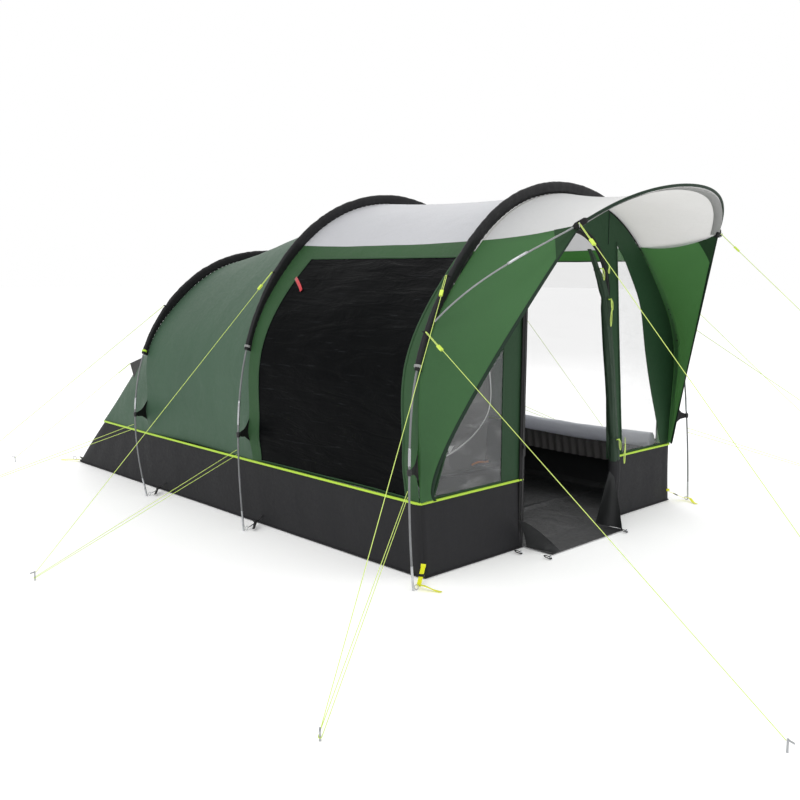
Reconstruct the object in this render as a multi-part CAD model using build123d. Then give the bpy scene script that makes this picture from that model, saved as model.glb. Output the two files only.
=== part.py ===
from build123d import *
import math
import os

# A tunnel tent: three hoops carry a green fly with a grey roof, a fourth, thinner pole spreads a
# hood in front of the door.  All sizes are millimetres.  +Z is up, the door faces -Y, and the
# origin is on the ground at the middle of the groundsheet.

# ---- driving dimensions ---------------------------------------------------------------------
FLOOR_WIDTH = 2100
FLOOR_LENGTH = 3580
PIPING_HEIGHT = 350          # top of the dark mud wall
ROOF_SEAM_HEIGHT = 1523      # where the green side meets the grey roof
FABRIC = 3                   # thickness that every cloth panel is given
FILM = 1.5                   # clear window film
HOOP_RADIUS = 4.8
HOOD_POLE_RADIUS = 4
SLEEVE_RADIUS = 13.5
HOOD_SLEEVE_RADIUS = 9
SLEEVE_WALL = 1.5
TIP_HEIGHT = 110             # steel tip at the foot of each leg
GUY_RADIUS = 1.5
PEG_RADIUS = 3.5
PEG_STAND = 42               # what a driven peg leaves above the ground

HALF = FLOOR_WIDTH / 2
REAR_SLOPE_FOOT = FLOOR_LENGTH
REAR_PIPING = 3147           # how far back the rear slope meets the piping
SIDES = {"left": -1, "right": 1}


def at(x, back, z):
    """A point given by its distance behind the front wall's foot."""
    return Vector(x, back - FLOOR_LENGTH / 2, z)


def export(name, *solids):
    shape = solids[0] if len(solids) == 1 else Compound(children=list(solids))
    shape.label = name
    export_step(shape, f"parts/{name}.step")


def mirrored(shape):
    return mirror(shape, about=Plane.YZ)


# ---- hoops ----------------------------------------------------------------------------------
# pole: half outline of the pole, foot to crown.  cloth: half outline of the fly, ground to crown,
# each as (half width, height).  foot and lean place the pole's plane; seam is how far back the
# fly's seam stands where the pole is not yet in its sleeve.
HOOPS = {
    "front": {
        "foot": -60,
        "lean": 0.062,
        "pole": [(1190, 0), (1196, 280), (1184, 560), (1123, 941), (890, 1358), (485, 1706), (0, 1821)],
        "cloth": [(1050, 0), (1075, 350), (1096, 620), (1097, 933), (860, 1334), (464, 1666), (0, 1775)],
        "seam": [0, 20, 8],
    },
    "middle": {
        "foot": 1222,
        "lean": 0.062,
        "pole": [(1200, 0), (1208, 280), (1198, 560), (1126, 946), (896, 1384), (486, 1717), (0, 1831)],
        "cloth": [(1050, 0), (1078, 350), (1098, 620), (1099, 938), (865, 1359), (467, 1679), (0, 1789)],
        "seam": [1312, 1302, 1294],
    },
    "rear": {
        "foot": 2275,
        "lean": 0.221,
        "pole": [(1200, 0), (1217, 200), (1208, 450), (1094, 851), (881, 1152), (438, 1445), (0, 1519)],
        "cloth": [(1050, 0), (1066, 350), (1080, 560), (1067, 838), (854, 1126), (424, 1407), (0, 1479)],
        "seam": [2500, 2468, 2440],
    },
}
SLEEVE_START = {"front": 955, "middle": 965, "rear": 865}


def pole_plane(hoop, z):
    return HOOPS[hoop]["foot"] + HOOPS[hoop]["lean"] * z


def pole_line(hoop):
    half = [at(-x, pole_plane(hoop, z), z) for x, z in HOOPS[hoop]["pole"]]
    other = [Vector(-p.X, p.Y, p.Z) for p in reversed(half[:-1])]
    return Spline(*half, *other)


def cloth_line(hoop):
    seam = HOOPS[hoop]["seam"]
    half = []
    for i, (x, z) in enumerate(HOOPS[hoop]["cloth"]):
        back = seam[i] if i < len(seam) else pole_plane(hoop, z)
        half.append(at(-x, back, z))
    other = [Vector(-p.X, p.Y, p.Z) for p in reversed(half[:-1])]
    return Spline(*half, *other)


POLE = {hoop: pole_line(hoop) for hoop in HOOPS}
CLOTH = {hoop: cloth_line(hoop) for hoop in HOOPS}


def rise(line, z):
    """How far along a line, 0 to 0.5, its left half first reaches the height z."""
    low, high = 0.0, 0.5
    for _ in range(40):
        middle = (low + high) / 2
        if (line @ middle).Z < z:
            low = middle
        else:
            high = middle
    return low


def stretch(line, start, end, count):
    """count + 1 points of a line between two places along it."""
    return [line @ (start + (end - start) * i / count) for i in range(count + 1)]


def sheet(edge_a, edge_b, thick=FABRIC, steps=6, sag=0.0, axis_z=800):
    """A cloth panel stretched between two rows of points, drawn in by sag halfway across."""
    rows = []
    for a, b in zip(edge_a, edge_b):
        row = []
        for j in range(steps + 1):
            t = j / steps
            p = a * (1 - t) + b * t
            inward = Vector(-p.X, 0, axis_z - p.Z)
            row.append(p + inward.normalized() * (sag * 4 * t * (1 - t)))
        rows.append(row)
    face = Face.make_surface_from_array_of_points(rows, tol=0.5, min_deg=1, max_deg=3)
    panel = Solid.thicken(face, thick)
    if panel.volume < 0:
        panel = Solid.thicken(-face, thick)
    return panel


def tube(line, outer, inner=0.0):
    section = Plane(origin=line @ 0, z_dir=line % 0) * Circle(outer)
    if inner:
        section = section - Plane(origin=line @ 0, z_dir=line % 0) * Circle(inner)
    return sweep(section, path=line)


def part_of(line, start, end, count=12):
    return Spline(*stretch(line, start, end, count))


os.makedirs("parts", exist_ok=True)

# ---- poles, steel tips and foot rings ---------------------------------------------------------
tips = []
rings = []
for hoop, line in POLE.items():
    tip_end = rise(line, TIP_HEIGHT)
    export(f"hoop_{hoop}", tube(part_of(line, tip_end, 1 - tip_end, 40), HOOP_RADIUS))
    foot = line @ 0
    for side in SIDES.values():
        bottom = Vector(side * abs(foot.X), foot.Y, 2)
        top_x = abs((line @ tip_end).X)
        top = Vector(side * top_x, pole_plane(hoop, TIP_HEIGHT) - FLOOR_LENGTH / 2, TIP_HEIGHT - 0.2)
        tips.append(tube(Line(bottom, top), HOOP_RADIUS + 0.7))
        rings.append(Pos(bottom.X - side * 19, bottom.Y, 12) * Rot(Y=90 - side * 12) * Torus(11, 1.8))
export("leg_tips", *tips)
export("foot_rings", *rings)

# ---- pole sleeves -----------------------------------------------------------------------------
SLEEVE_DROP = 4              # the sleeve hangs this far inward of the pole that lifts it


def sleeve_line(hoop):
    start = rise(POLE[hoop], SLEEVE_START[hoop])
    points = []
    for i in range(33):
        place = start + (1 - 2 * start) * i / 32
        run = POLE[hoop] % place
        out = Vector(-run.Z, 0, run.X).normalized()
        points.append(POLE[hoop] @ place - out * SLEEVE_DROP)
    return Spline(*points)


for hoop in POLE:
    export(f"sleeve_{hoop}", tube(sleeve_line(hoop), SLEEVE_RADIUS, SLEEVE_RADIUS - SLEEVE_WALL))

# ---- hood pole, hood edge sleeve and hood canopy ------------------------------------------------
HOOD_TIP = at(0, -669, 1768)
HOOD_SHOULDER = (500, -538, 1656)
HOOD_CORNER = (607, -464, 1583)
HOOD_ELBOW = (850, -248, 1400)
HOOD_FOOT = (1034, -24, 1164)


def both_ways(*half):
    left = [at(-x, back, z) for x, back, z in half]
    right = [at(x, back, z) for x, back, z in reversed(half)]
    return left, right


left, right = both_ways(HOOD_FOOT, HOOD_ELBOW, HOOD_CORNER, HOOD_SHOULDER)
hood_line = Spline(*left, HOOD_TIP, *right)
export("hood_pole", tube(hood_line, HOOD_POLE_RADIUS))

corner_at = rise(hood_line, HOOD_CORNER[2])
hood_edge = part_of(hood_line, corner_at, 1 - corner_at, 16)
export("hood_sleeve", tube(hood_edge, HOOD_SLEEVE_RADIUS, HOOD_SLEEVE_RADIUS - SLEEVE_WALL))

roof_start = {hoop: rise(CLOTH[hoop], ROOF_SEAM_HEIGHT) for hoop in ("front", "middle")}
GAP = 0.004                 # how much of a hoop's length neighbouring panels stay apart


def below_edge(point, drop=13):
    return Vector(point.X * 0.985, point.Y + 4, point.Z - drop)


front_roof = stretch(CLOTH["front"], roof_start["front"] + GAP, 1 - roof_start["front"] - GAP, 16)
front_roof = [p + Vector(0, -12, 0) for p in front_roof]
canopy_edge = [below_edge(p) for p in stretch(hood_edge, 0.01, 0.99, 16)]
export("hood_canopy", sheet(front_roof, canopy_edge, sag=14))

# ---- wings beside the door ----------------------------------------------------------------------
WING_FOOT = (1022, -26, 366)
WING_PULL = (1130, 14, 470)
wing_edge = Bezier(at(-WING_FOOT[0], *WING_FOOT[1:]), at(-WING_PULL[0], *WING_PULL[1:]),
                   at(-HOOD_CORNER[0] + 8, HOOD_CORNER[1] + 4, HOOD_CORNER[2] - 16))
wing_low = rise(CLOTH["front"], PIPING_HEIGHT + 14)
wing_back = stretch(CLOTH["front"], wing_low, roof_start["front"] - GAP, 14)
wing_back = [p + Vector(0, -12, 0) for p in wing_back]
wing = sheet(wing_back, stretch(wing_edge, 0, 1, 14), sag=10, axis_z=900)
export("wing_left", wing)
export("wing_right", mirrored(wing))

# ---- roof, side walls and side windows ------------------------------------------------------------
piping_at = {hoop: rise(CLOTH[hoop], PIPING_HEIGHT + 4) for hoop in HOOPS}


def tunnel(hoop_a, hoop_b, start, end, count, sag):
    edge_a = stretch(CLOTH[hoop_a], start[hoop_a], end[hoop_a], count)
    edge_b = stretch(CLOTH[hoop_b], start[hoop_b], end[hoop_b], count)
    edge_a = [p + Vector(0, 3, 0) for p in edge_a]
    edge_b = [p - Vector(0, 3, 0) for p in edge_b]
    return sheet(edge_a, edge_b, sag=sag)


other = {hoop: 1 - roof_start[hoop] for hoop in roof_start}
export("roof_panel", tunnel("front", "middle", roof_start, other, 20, 16))

wall_end = {hoop: roof_start[hoop] - GAP for hoop in roof_start}
wall = tunnel("front", "middle", piping_at, wall_end, 20, 14)

WINDOW_FRONT, WINDOW_BACK = 105, 1165
WINDOW_BACK_LOW = 1238       # the window widens towards its sill
WINDOW_LOW, WINDOW_HIGH = 378, 1448


def window_block(inset):
    """The block that cuts a side window's opening through the left wall."""
    low, high = WINDOW_LOW + inset, WINDOW_HIGH - inset
    front = at(0, WINDOW_FRONT + inset, 0).Y
    back_low = at(0, WINDOW_BACK_LOW - inset, 0).Y
    back_high = at(0, WINDOW_BACK - inset, 0).Y
    outline = Polygon((front, low), (back_low, low), (back_high, high), (front, high), align=None)
    outline = fillet(outline.vertices(), 22)
    return Pos(-900, 0, 0) * extrude(Plane.YZ * outline, 400, both=True)


side_wall = wall - window_block(0)
side_film = wall & window_block(0.4)
export("side_wall_left", side_wall)
export("side_wall_right", mirrored(side_wall))
export("side_windows", side_film, mirrored(side_film))

# ---- bedroom fly and rear slope -------------------------------------------------------------------
shoulder = {"middle": rise(CLOTH["middle"], 1420), "rear": rise(CLOTH["rear"], 1180)}
shoulder_end = {hoop: shoulder[hoop] - 0.0005 for hoop in shoulder}
far_shoulder = {hoop: 1 - shoulder[hoop] for hoop in shoulder}
bedroom_side = tunnel("middle", "rear", piping_at, shoulder_end, 14, 18)
bedroom_top = tunnel("middle", "rear", shoulder, far_shoulder, 16, 18)
export("bedroom_panel", bedroom_side, mirrored(bedroom_side), bedroom_top)

corner_rise = rise(CLOTH["rear"], 985)
rear_corner = at(-1045, REAR_PIPING, PIPING_HEIGHT + 4)
crown = stretch(CLOTH["rear"], corner_rise + GAP, 1 - corner_rise - GAP, 20)
rear_row = [rear_corner + Vector(2090 * i / 20, 0, 0) for i in range(21)]
rear_middle = sheet([p + Vector(0, 8, 0) for p in crown], rear_row, sag=0)
leg = stretch(CLOTH["rear"], piping_at["rear"], corner_rise, 10)
leg_foot = leg[0] + Vector(0, 60, 0)
side_row = [leg_foot + (rear_corner - leg_foot) * (i / 10) for i in range(11)]
gusset = sheet([p + Vector(0, 8, 0) for p in leg], [p + Vector(0, 0, 1) for p in side_row], sag=6)
export("rear_panel", rear_middle, gusset, mirrored(gusset))

# ---- mud walls and groundsheet ----------------------------------------------------------------------
SHEET_THICK = 1.5


def wall_strip(low, high):
    return sheet(low, high, steps=3)


side_low = [at(-HALF, back, SHEET_THICK + 1) for back in (6, 1200, 2400, FLOOR_LENGTH - 12)]
side_high = [CLOTH["front"] @ piping_at["front"], CLOTH["middle"] @ piping_at["middle"],
             CLOTH["rear"] @ piping_at["rear"], rear_corner]
side_high = [Vector(p.X, p.Y, PIPING_HEIGHT) for p in side_high]
mud_side = wall_strip(side_low, side_high)
rear_low = [at(x, REAR_SLOPE_FOOT, SHEET_THICK + 1) for x in (-HALF + 4, -350, 350, HALF - 4)]
rear_high = [at(x, REAR_PIPING + 4, PIPING_HEIGHT) for x in (-1038, -350, 350, 1038)]
mud_rear = wall_strip(rear_low, rear_high)

DOOR_LEFT, DOOR_RIGHT = -345, 430
DOOR_SILL = 12
DOOR_SHOULDER = 1250
DOOR_SHOULDER_RIGHT = 340    # the right edge leans in to here at the shoulder
DOOR_TOP = 1592


def front_strip(inner, outer_low, outer_high):
    low = [at(inner + (outer_low - inner) * i / 3, 12, SHEET_THICK + 1) for i in range(4)]
    high = [at(inner + (outer_high - inner) * i / 3, 20, PIPING_HEIGHT) for i in range(4)]
    return wall_strip(low, high)


export("mud_walls", mud_side, mirrored(mud_side), mud_rear,
       front_strip(DOOR_LEFT, -HALF + 6, -1069), front_strip(DOOR_RIGHT, HALF - 6, 1069))
export("groundsheet", Pos(0, 0, SHEET_THICK / 2) * Box(FLOOR_WIDTH - 10, FLOOR_LENGTH - 14, SHEET_THICK))

# ---- front wall with door opening and windows ---------------------------------------------------------
WALL_BACK = 24               # the front wall hangs this far behind the wall's foot line
wall_plane = Plane(origin=at(0, WALL_BACK, 0), x_dir=(1, 0, 0), z_dir=(0, -1, 0))


arch = [(x - 9, z - (10 if z > 1000 else 0)) for x, z in HOOPS["front"]["cloth"][1:]]
arch[0] = (1066, PIPING_HEIGHT + 6)
arch_line = Spline(*[(-x, z) for x, z in arch], *[(x, z) for x, z in reversed(arch[:-1])])
wall_face = make_face(arch_line + Line(arch_line @ 1, arch_line @ 0))

door_face = make_face(Polyline((DOOR_LEFT, DOOR_SILL), (DOOR_RIGHT, DOOR_SILL), (DOOR_SHOULDER_RIGHT, DOOR_SHOULDER),
                               (DOOR_LEFT, DOOR_SHOULDER), close=True))
door_face += Pos((DOOR_LEFT + DOOR_SHOULDER_RIGHT) / 2, DOOR_SHOULDER) * Ellipse(
    (DOOR_SHOULDER_RIGHT - DOOR_LEFT) / 2, DOOR_TOP - DOOR_SHOULDER)

WINDOW_INNER = {"left": (505, 505), "right": (555, 424)}      # inner edge, low and high
WINDOW_OUTER = [(930, 372), (912, 560), (866, 790), (778, 1172), (664, 1402), (540, 1552)]


def front_window(name, inset):
    side = SIDES[name]
    inner_low, inner_high = WINDOW_INNER[name]
    outer = [(side * (x - inset), z) for x, z in WINDOW_OUTER]
    outer[0] = (outer[0][0], outer[0][1] + inset)
    curve = Spline(*outer)
    low = (side * (inner_low + inset), outer[0][1])
    top = (side * (inner_high + inset), outer[-1][1])
    return make_face(curve + Polyline(curve @ 1, top, low, curve @ 0))


panes = front_window("left", 0) + front_window("right", 0)
glass = front_window("left", 0.5) + front_window("right", 0.5)
export("front_wall", extrude(wall_plane * (wall_face - door_face - panes), FABRIC))
export("front_windows", *extrude(wall_plane * glass, FILM).solids())

# ---- door roll, its toggles, zip slider and threshold flap ----------------------------------------------
ROLL_BACK = -14
ROLL_LOW = 16
ROLL_SHAPE = [(0, 412, 66, 48), (300, 430, 70, 50), (450, 415, 66, 48), (600, 388, 64, 46), (800, 360, 62, 46),
              (1050, 317, 60, 44), (1250, 281, 56, 40), (1340, 240, 52, 36), (1400, 195, 44, 30),
              (1470, 151, 28, 22)]      # height, x, width and depth


def roll_middle(z):
    """The middle of the rolled door at the height z."""
    for (z0, x0, *_), (z1, x1, *_) in zip(ROLL_SHAPE, ROLL_SHAPE[1:]):
        if z <= z1:
            return at(x0 + (x1 - x0) * (z - z0) / (z1 - z0), ROLL_BACK, z)


roll_sections = []
for z, x, wide, deep in ROLL_SHAPE:
    middle = at(x, ROLL_BACK, max(z, ROLL_LOW))
    roll_sections.append(Plane(origin=middle, z_dir=(0, 0, 1)) * Ellipse(wide / 2, deep / 2))
export("door_roll", loft(roll_sections))

TOGGLE_HEIGHTS = (470, 1240, 1400)
toggles = []
for z in TOGGLE_HEIGHTS:
    toggles.append(Pos(*(roll_middle(z) + Vector(0, -30, 0))) * Rot(Y=90) * Cylinder(3, 26))
export("door_toggles", *toggles)

SLIDER_HEIGHT = 520
slider = Pos(*at(DOOR_LEFT - 11, WALL_BACK - 20, SLIDER_HEIGHT)) * Box(11, 5, 16)
pull = Pos(*at(DOOR_LEFT - 11, WALL_BACK - 23, SLIDER_HEIGHT - 24)) * Box(7, 2, 46)
export("door_slider", slider + pull)

FLAP_LEFT, FLAP_RIGHT = -340, 300
FLAP_REACH = 165
FLAP_THICK = 3
flap = Pos(*at((FLAP_LEFT + FLAP_RIGHT) / 2, -8 - FLAP_REACH / 2, 1 + FLAP_THICK / 2)) * Box(
    FLAP_RIGHT - FLAP_LEFT, FLAP_REACH, FLAP_THICK)
export("threshold_flap", flap)

# ---- rolled window blinds inside the side walls ------------------------------------------------------------
BLIND_WIDE, BLIND_TALL = 70, 96
BLIND_PLACE = 1018
BLIND_HEIGHT = 372
blind_end = Plane(origin=at(-BLIND_PLACE, WINDOW_FRONT, BLIND_HEIGHT), x_dir=(-1, 0, 0), z_dir=(0, 1, 0))
blind = extrude(blind_end * Ellipse(BLIND_WIDE / 2, BLIND_TALL / 2), WINDOW_BACK_LOW - WINDOW_FRONT)
export("window_blinds", blind, mirrored(blind))

# ---- inner tent ----------------------------------------------------------------------------------------------
INNER_FRONT = 1400
INNER_REAR_HOOP = 2560
INNER_SCALE = 0.93
INNER_TAIL_SHARE = 0.72      # the tail is this much lower than the rear hoop
INNER_LOW = 12


def inner_outline(hoop, back, start, end, count):
    points = stretch(CLOTH[hoop], start, end, count)
    return [Vector(p.X * INNER_SCALE, back - FLOOR_LENGTH / 2, p.Z * INNER_SCALE) for p in points]


def tail_of(row):
    """The low end of the inner tent, behind the rear hoop's row of points."""
    tail = []
    for p in row:
        z = p.Z * INNER_TAIL_SHARE + 4
        tail.append(Vector(p.X, at(0, INNER_REAR_HOOP + 490 - 0.28 * z, 0).Y, z))
    return tail


inner_start = {hoop: rise(CLOTH[hoop], INNER_LOW) for hoop in ("middle", "rear")}


def inner_strip(share_a, share_b):
    """The inner tent's cloth between two shares of its outline, with the tail behind it."""
    rows = []
    for hoop, back in (("middle", INNER_FRONT + 8), ("rear", INNER_REAR_HOOP)):
        start = inner_start[hoop]
        run = 1 - 2 * start
        rows.append(inner_outline(hoop, back, start + run * share_a, start + run * share_b, 14))
    behind = [p + Vector(0, 5, 0) for p in rows[1]]
    return [sheet(rows[0], rows[1]), sheet(behind, tail_of(behind))]


inner_side = inner_strip(0, 0.332)
inner_top = inner_strip(0.333, 0.667)
export("inner_body", *inner_side, *[mirrored(piece) for piece in inner_side], *inner_top)
door_row = inner_outline("middle", INNER_FRONT, inner_start["middle"], 1 - inner_start["middle"], 24)
inner_line = Spline(*door_row)
inner_face = make_face(inner_line + Line(inner_line @ 1, inner_line @ 0))
export("inner_front", extrude(inner_face, FABRIC, dir=(0, -1, 0)))

# ---- foot straps and buckles -----------------------------------------------------------------------------------
STRAP_WIDTH = 20
STRAP_THICK = 1.6


def strap(start, end):
    """A flat webbing strap between two points."""
    run = end - start
    plane = Plane(origin=start, x_dir=run.cross(Vector(0, 0, 1)), z_dir=run)
    return extrude(plane * Rectangle(STRAP_WIDTH, STRAP_THICK), run.length)


front_foot = POLE["front"] @ 0
strap_ends = {}
straps = []
for name, side in SIDES.items():
    wall_end = Vector(side * (HALF + 13), front_foot.Y + 66, 62)
    ring = Vector(side * (abs(front_foot.X) - 34), front_foot.Y + 2, 12)
    strap_ends[name] = (wall_end, ring)
    straps.append(strap(wall_end, ring))
export("foot_straps", *straps)

BUCKLE = (30, 16, 6)
BUCKLE_PLACE = 0.45          # share of the strap between the wall and the buckle
for name, (wall_end, ring) in strap_ends.items():
    run = ring - wall_end
    plane = Plane(origin=wall_end + run * BUCKLE_PLACE, x_dir=run.cross(Vector(0, 0, 1)), z_dir=run)
    frame = Box(BUCKLE[0], BUCKLE[2], BUCKLE[1]) - Box(STRAP_WIDTH + 2, STRAP_THICK + 1.2, BUCKLE[1] + 2)
    export(f"strap_buckle_{name}", plane * frame)

# ---- guy lines, runners and pegs -----------------------------------------------------------------------------------
# Each guy leaves a tab on a hoop.  An upper guy is doubled back from its tab to a runner and then
# runs on, single, to its peg.  A low guy runs from the leg round the peg and back to the leg.
PEGS = {
    "front": (2290, -780),
    "door": (1350, -1760),
    "hood": (1000, -2060),
    "middle": (2330, 1200),
    "rear": (2250, 2950),
    "tail": (1400, 3850),
}
HOOK_REACH = 24
GUY_HEIGHT = 31              # an upper guy meets its peg at this height
LOW_GUY_HEIGHT = 13
RUNNER = (9, 9, 34)
RUNNER_DROP = 120            # from the tab to the runner, along the line
SLOT_WIDTH = 2 * GUY_RADIUS + 1


def on_pole(hoop, z, outward, forward=0):
    """A point off the outer side of a hoop's left half at the height z."""
    place = rise(POLE[hoop], z)
    run = POLE[hoop] % place
    out = Vector(-run.Z, 0, run.X).normalized()
    return POLE[hoop] @ place + out * outward + Vector(0, forward, 0)


UPPER_GUYS = {
    "guy_front_upper": (on_pole("front", 1352, 18), "front", True),
    "guy_front_lower": (on_pole("front", 1113, 16, -14), "door", True),
    "guy_hood": (at(-HOOD_CORNER[0] - 14, HOOD_CORNER[1] - 6, HOOD_CORNER[2] + 2), "hood", True),
    "guy_middle_upper": (on_pole("middle", 1367, 18), "middle", True),
    "guy_rear_upper": (on_pole("rear", 1150, 18), "rear", False),
    "guy_tail": (at(-1010, 2800, 775), "tail", False),
}
LOW_GUYS = {
    "guy_front_leg": ("front", 440, "front"),
    "guy_middle_leg": ("middle", 440, "middle"),
    "guy_rear_leg": ("rear", 440, "rear"),
}


def peg_point(name, z=GUY_HEIGHT):
    x, back = PEGS[name]
    return at(-x, back, z)


def cord(name, points, radii):
    route = FilletPolyline(*points, radius=radii)
    solid = tube(route, GUY_RADIUS)
    section = math.pi * GUY_RADIUS ** 2
    print(name, "length", round(route.length), "radii", radii,
          "volume/section*length", round(solid.volume / (section * route.length), 3))
    export(f"{name}_left", solid)
    export(f"{name}_right", mirrored(solid))


for name, (tab, peg, has_runner) in UPPER_GUYS.items():
    goal = peg_point(peg)
    along = (goal - tab).normalized()
    across = along.cross(Vector(0, 0, 1)).normalized()
    loop = 3.2
    end = goal - along * (PEG_RADIUS + GUY_RADIUS + 1.5)
    low = tab + along * (RUNNER_DROP + 10) + across * 2 * loop
    cord(name, [low, tab + across * 2 * loop, tab, end], [loop - 0.2, loop - 0.2])
    if has_runner:
        middle = tab + along * RUNNER_DROP + across * loop
        plane = Plane(origin=middle, x_dir=across, z_dir=along)
        block = Box(RUNNER[0] + 6, RUNNER[1], RUNNER[2])
        for slot in (loop, -loop):
            block -= Pos(slot, 0, 0) * Box(SLOT_WIDTH, SLOT_WIDTH, RUNNER[2] + 2)
        runner = plane * block
        print("runner", name, [round(v / 1000, 4) for v in middle], [round(v, 5) for v in along])
        export(f"runner{name[3:]}_left", runner)
        export(f"runner{name[3:]}_right", mirrored(runner))

for name, (hoop, z, peg) in LOW_GUYS.items():
    high = on_pole(hoop, z, 10)
    low = on_pole(hoop, z - 26, 10)
    goal = peg_point(peg, LOW_GUY_HEIGHT)
    along = (goal - high).normalized()
    across = along.cross(Vector(0, 0, 1)).normalized()
    bend = PEG_RADIUS + GUY_RADIUS + 0.6
    far = goal + along * bend
    cord(name, [high, far + across * bend, far - across * bend, low], [bend - 0.2, bend - 0.2])

pegs = []
for name in PEGS:
    foot = peg_point(name, 0)
    stem = Pos(foot.X, foot.Y, PEG_STAND / 2) * Cylinder(PEG_RADIUS, PEG_STAND)
    away = Vector(foot.X, foot.Y, 0).normalized()
    hook_plane = Plane(origin=foot + Vector(0, 0, PEG_STAND - PEG_RADIUS), z_dir=away)
    hook = extrude(hook_plane * Circle(PEG_RADIUS - 0.4), HOOK_REACH)
    pegs.append(stem + hook)
export("pegs", *pegs, *[mirrored(peg) for peg in pegs])
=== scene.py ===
import math

import bpy
import numpy as np
from mathutils import Matrix, Vector, noise
from mathutils.geometry import delaunay_2d_cdt


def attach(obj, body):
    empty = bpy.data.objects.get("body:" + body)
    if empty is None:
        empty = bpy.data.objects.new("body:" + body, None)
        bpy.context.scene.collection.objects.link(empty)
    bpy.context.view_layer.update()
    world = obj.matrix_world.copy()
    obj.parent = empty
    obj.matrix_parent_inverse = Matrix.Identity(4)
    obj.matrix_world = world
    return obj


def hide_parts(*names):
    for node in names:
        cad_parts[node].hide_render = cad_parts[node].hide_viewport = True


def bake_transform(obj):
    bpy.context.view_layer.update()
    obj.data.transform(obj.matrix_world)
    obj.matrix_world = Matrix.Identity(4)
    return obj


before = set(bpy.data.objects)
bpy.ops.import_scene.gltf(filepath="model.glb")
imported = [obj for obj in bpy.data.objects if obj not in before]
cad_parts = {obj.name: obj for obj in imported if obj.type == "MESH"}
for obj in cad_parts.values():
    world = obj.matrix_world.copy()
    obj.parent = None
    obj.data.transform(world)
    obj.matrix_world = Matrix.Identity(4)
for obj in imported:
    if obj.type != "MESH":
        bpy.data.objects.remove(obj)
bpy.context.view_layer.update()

# ---- sizes shared with the CAD, in metres -----------------------------------------------------
HALF = 1.05
LENGTH = 3.58
PIPING = 0.35
ROOF_SEAM = 1.523
WALL_BACK = 0.024
REAR_PIPING = 3.147
HOOPS = {
    "front": {
        "foot": -0.060, "lean": 0.062, "seam": [0, 0.020, 0.008], "sleeve": 0.955,
        "pole": [
            (1.190, 0), (1.196, 0.280), (1.184, 0.560), (1.123, 0.941), (0.890, 1.358), (0.485, 1.706),
            (0, 1.821)],
        "cloth": [
            (1.050, 0), (1.075, 0.350), (1.096, 0.620), (1.097, 0.933), (0.860, 1.334), (0.464, 1.666),
            (0, 1.775)],
    },
    "middle": {
        "foot": 1.222, "lean": 0.062, "seam": [1.312, 1.302, 1.294], "sleeve": 0.965,
        "pole": [
            (1.200, 0), (1.208, 0.280), (1.198, 0.560), (1.126, 0.946), (0.896, 1.384), (0.486, 1.717),
            (0, 1.831)],
        "cloth": [
            (1.050, 0), (1.078, 0.350), (1.098, 0.620), (1.099, 0.938), (0.865, 1.359), (0.467, 1.679),
            (0, 1.789)],
    },
    "rear": {
        "foot": 2.275, "lean": 0.221, "seam": [2.500, 2.468, 2.440], "sleeve": 0.865,
        "pole": [
            (1.200, 0), (1.217, 0.200), (1.208, 0.450), (1.094, 0.851), (0.881, 1.152), (0.438, 1.445),
            (0, 1.519)],
        "cloth": [
            (1.050, 0), (1.066, 0.350), (1.080, 0.560), (1.067, 0.838), (0.854, 1.126), (0.424, 1.407),
            (0, 1.479)],
    },
}
HOOD_TIP = (0, -0.669, 1.768)
HOOD_SHOULDER = (0.500, -0.538, 1.656)
HOOD_CORNER = (0.607, -0.464, 1.583)
HOOD_ELBOW = (0.850, -0.248, 1.400)
HOOD_FOOT = (1.034, -0.024, 1.164)
DOOR = {"left": -0.345, "right": 0.430, "right_high": 0.340, "shoulder": 1.250, "top": 1.592}
WINDOW_INNER = {"left": (0.505, 0.505, 1.466), "right": (0.555, 0.430, 1.540)}
WINDOW_OUTER = [
    (0.985, 0.364), (0.899, 0.571), (0.802, 0.822), (0.742, 1.028), (0.692, 1.200), (0.609, 1.330),
    (0.520, 1.450)]
SIDES = (("left", np.array((1, 1, 1))), ("right", np.array((-1, 1, 1))))
SIDE_WINDOW = [(0.105, 0.366), (1.225, 0.366), (1.165, 1.448), (0.105, 1.448)]


def spot(x, back, z):
    """A point given by its distance behind the front wall's foot."""
    return np.array((x, back - LENGTH / 2, z), float)


# ---- camera, floor and light ------------------------------------------------------------------
scene = bpy.context.scene
scene.view_settings.view_transform = "Standard"


def camera_matrix(place, yaw, pitch, roll):
    """The camera in degrees: yaw turns it from +Y towards +X, pitch turns it down."""
    yaw, pitch, roll = (math.radians(a) for a in (yaw, pitch, roll))
    ahead = Vector((math.sin(yaw) * math.cos(pitch), math.cos(yaw) * math.cos(pitch), -math.sin(pitch)))
    level = Vector((math.cos(yaw), -math.sin(yaw), 0))
    upward = level.cross(ahead)
    right = level * math.cos(roll) + upward * math.sin(roll)
    up = upward * math.cos(roll) - level * math.sin(roll)
    matrix = Matrix((right, up, -ahead)).transposed().to_4x4()
    matrix.translation = place
    return matrix


camera = bpy.data.objects.new("camera", bpy.data.cameras.new("camera"))
camera.data.lens = 40.68
camera.data.sensor_width = 36
camera.data.clip_end = 200
camera.matrix_world = camera_matrix((-3.861, -4.537, 1.365), 43.901, 7.895, 0.238)
scene.collection.objects.link(camera)
scene.camera = camera


def area_light(name, place, aim, size, power):
    """A square lamp that faces the point aim."""
    light = bpy.data.lights.new(name, "AREA")
    light.size = size
    light.energy = power
    lamp = bpy.data.objects.new(name, light)
    lamp.location = place
    lamp.rotation_euler = (Vector(aim) - Vector(place)).to_track_quat("-Z", "Y").to_euler()
    scene.collection.objects.link(lamp)


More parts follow.
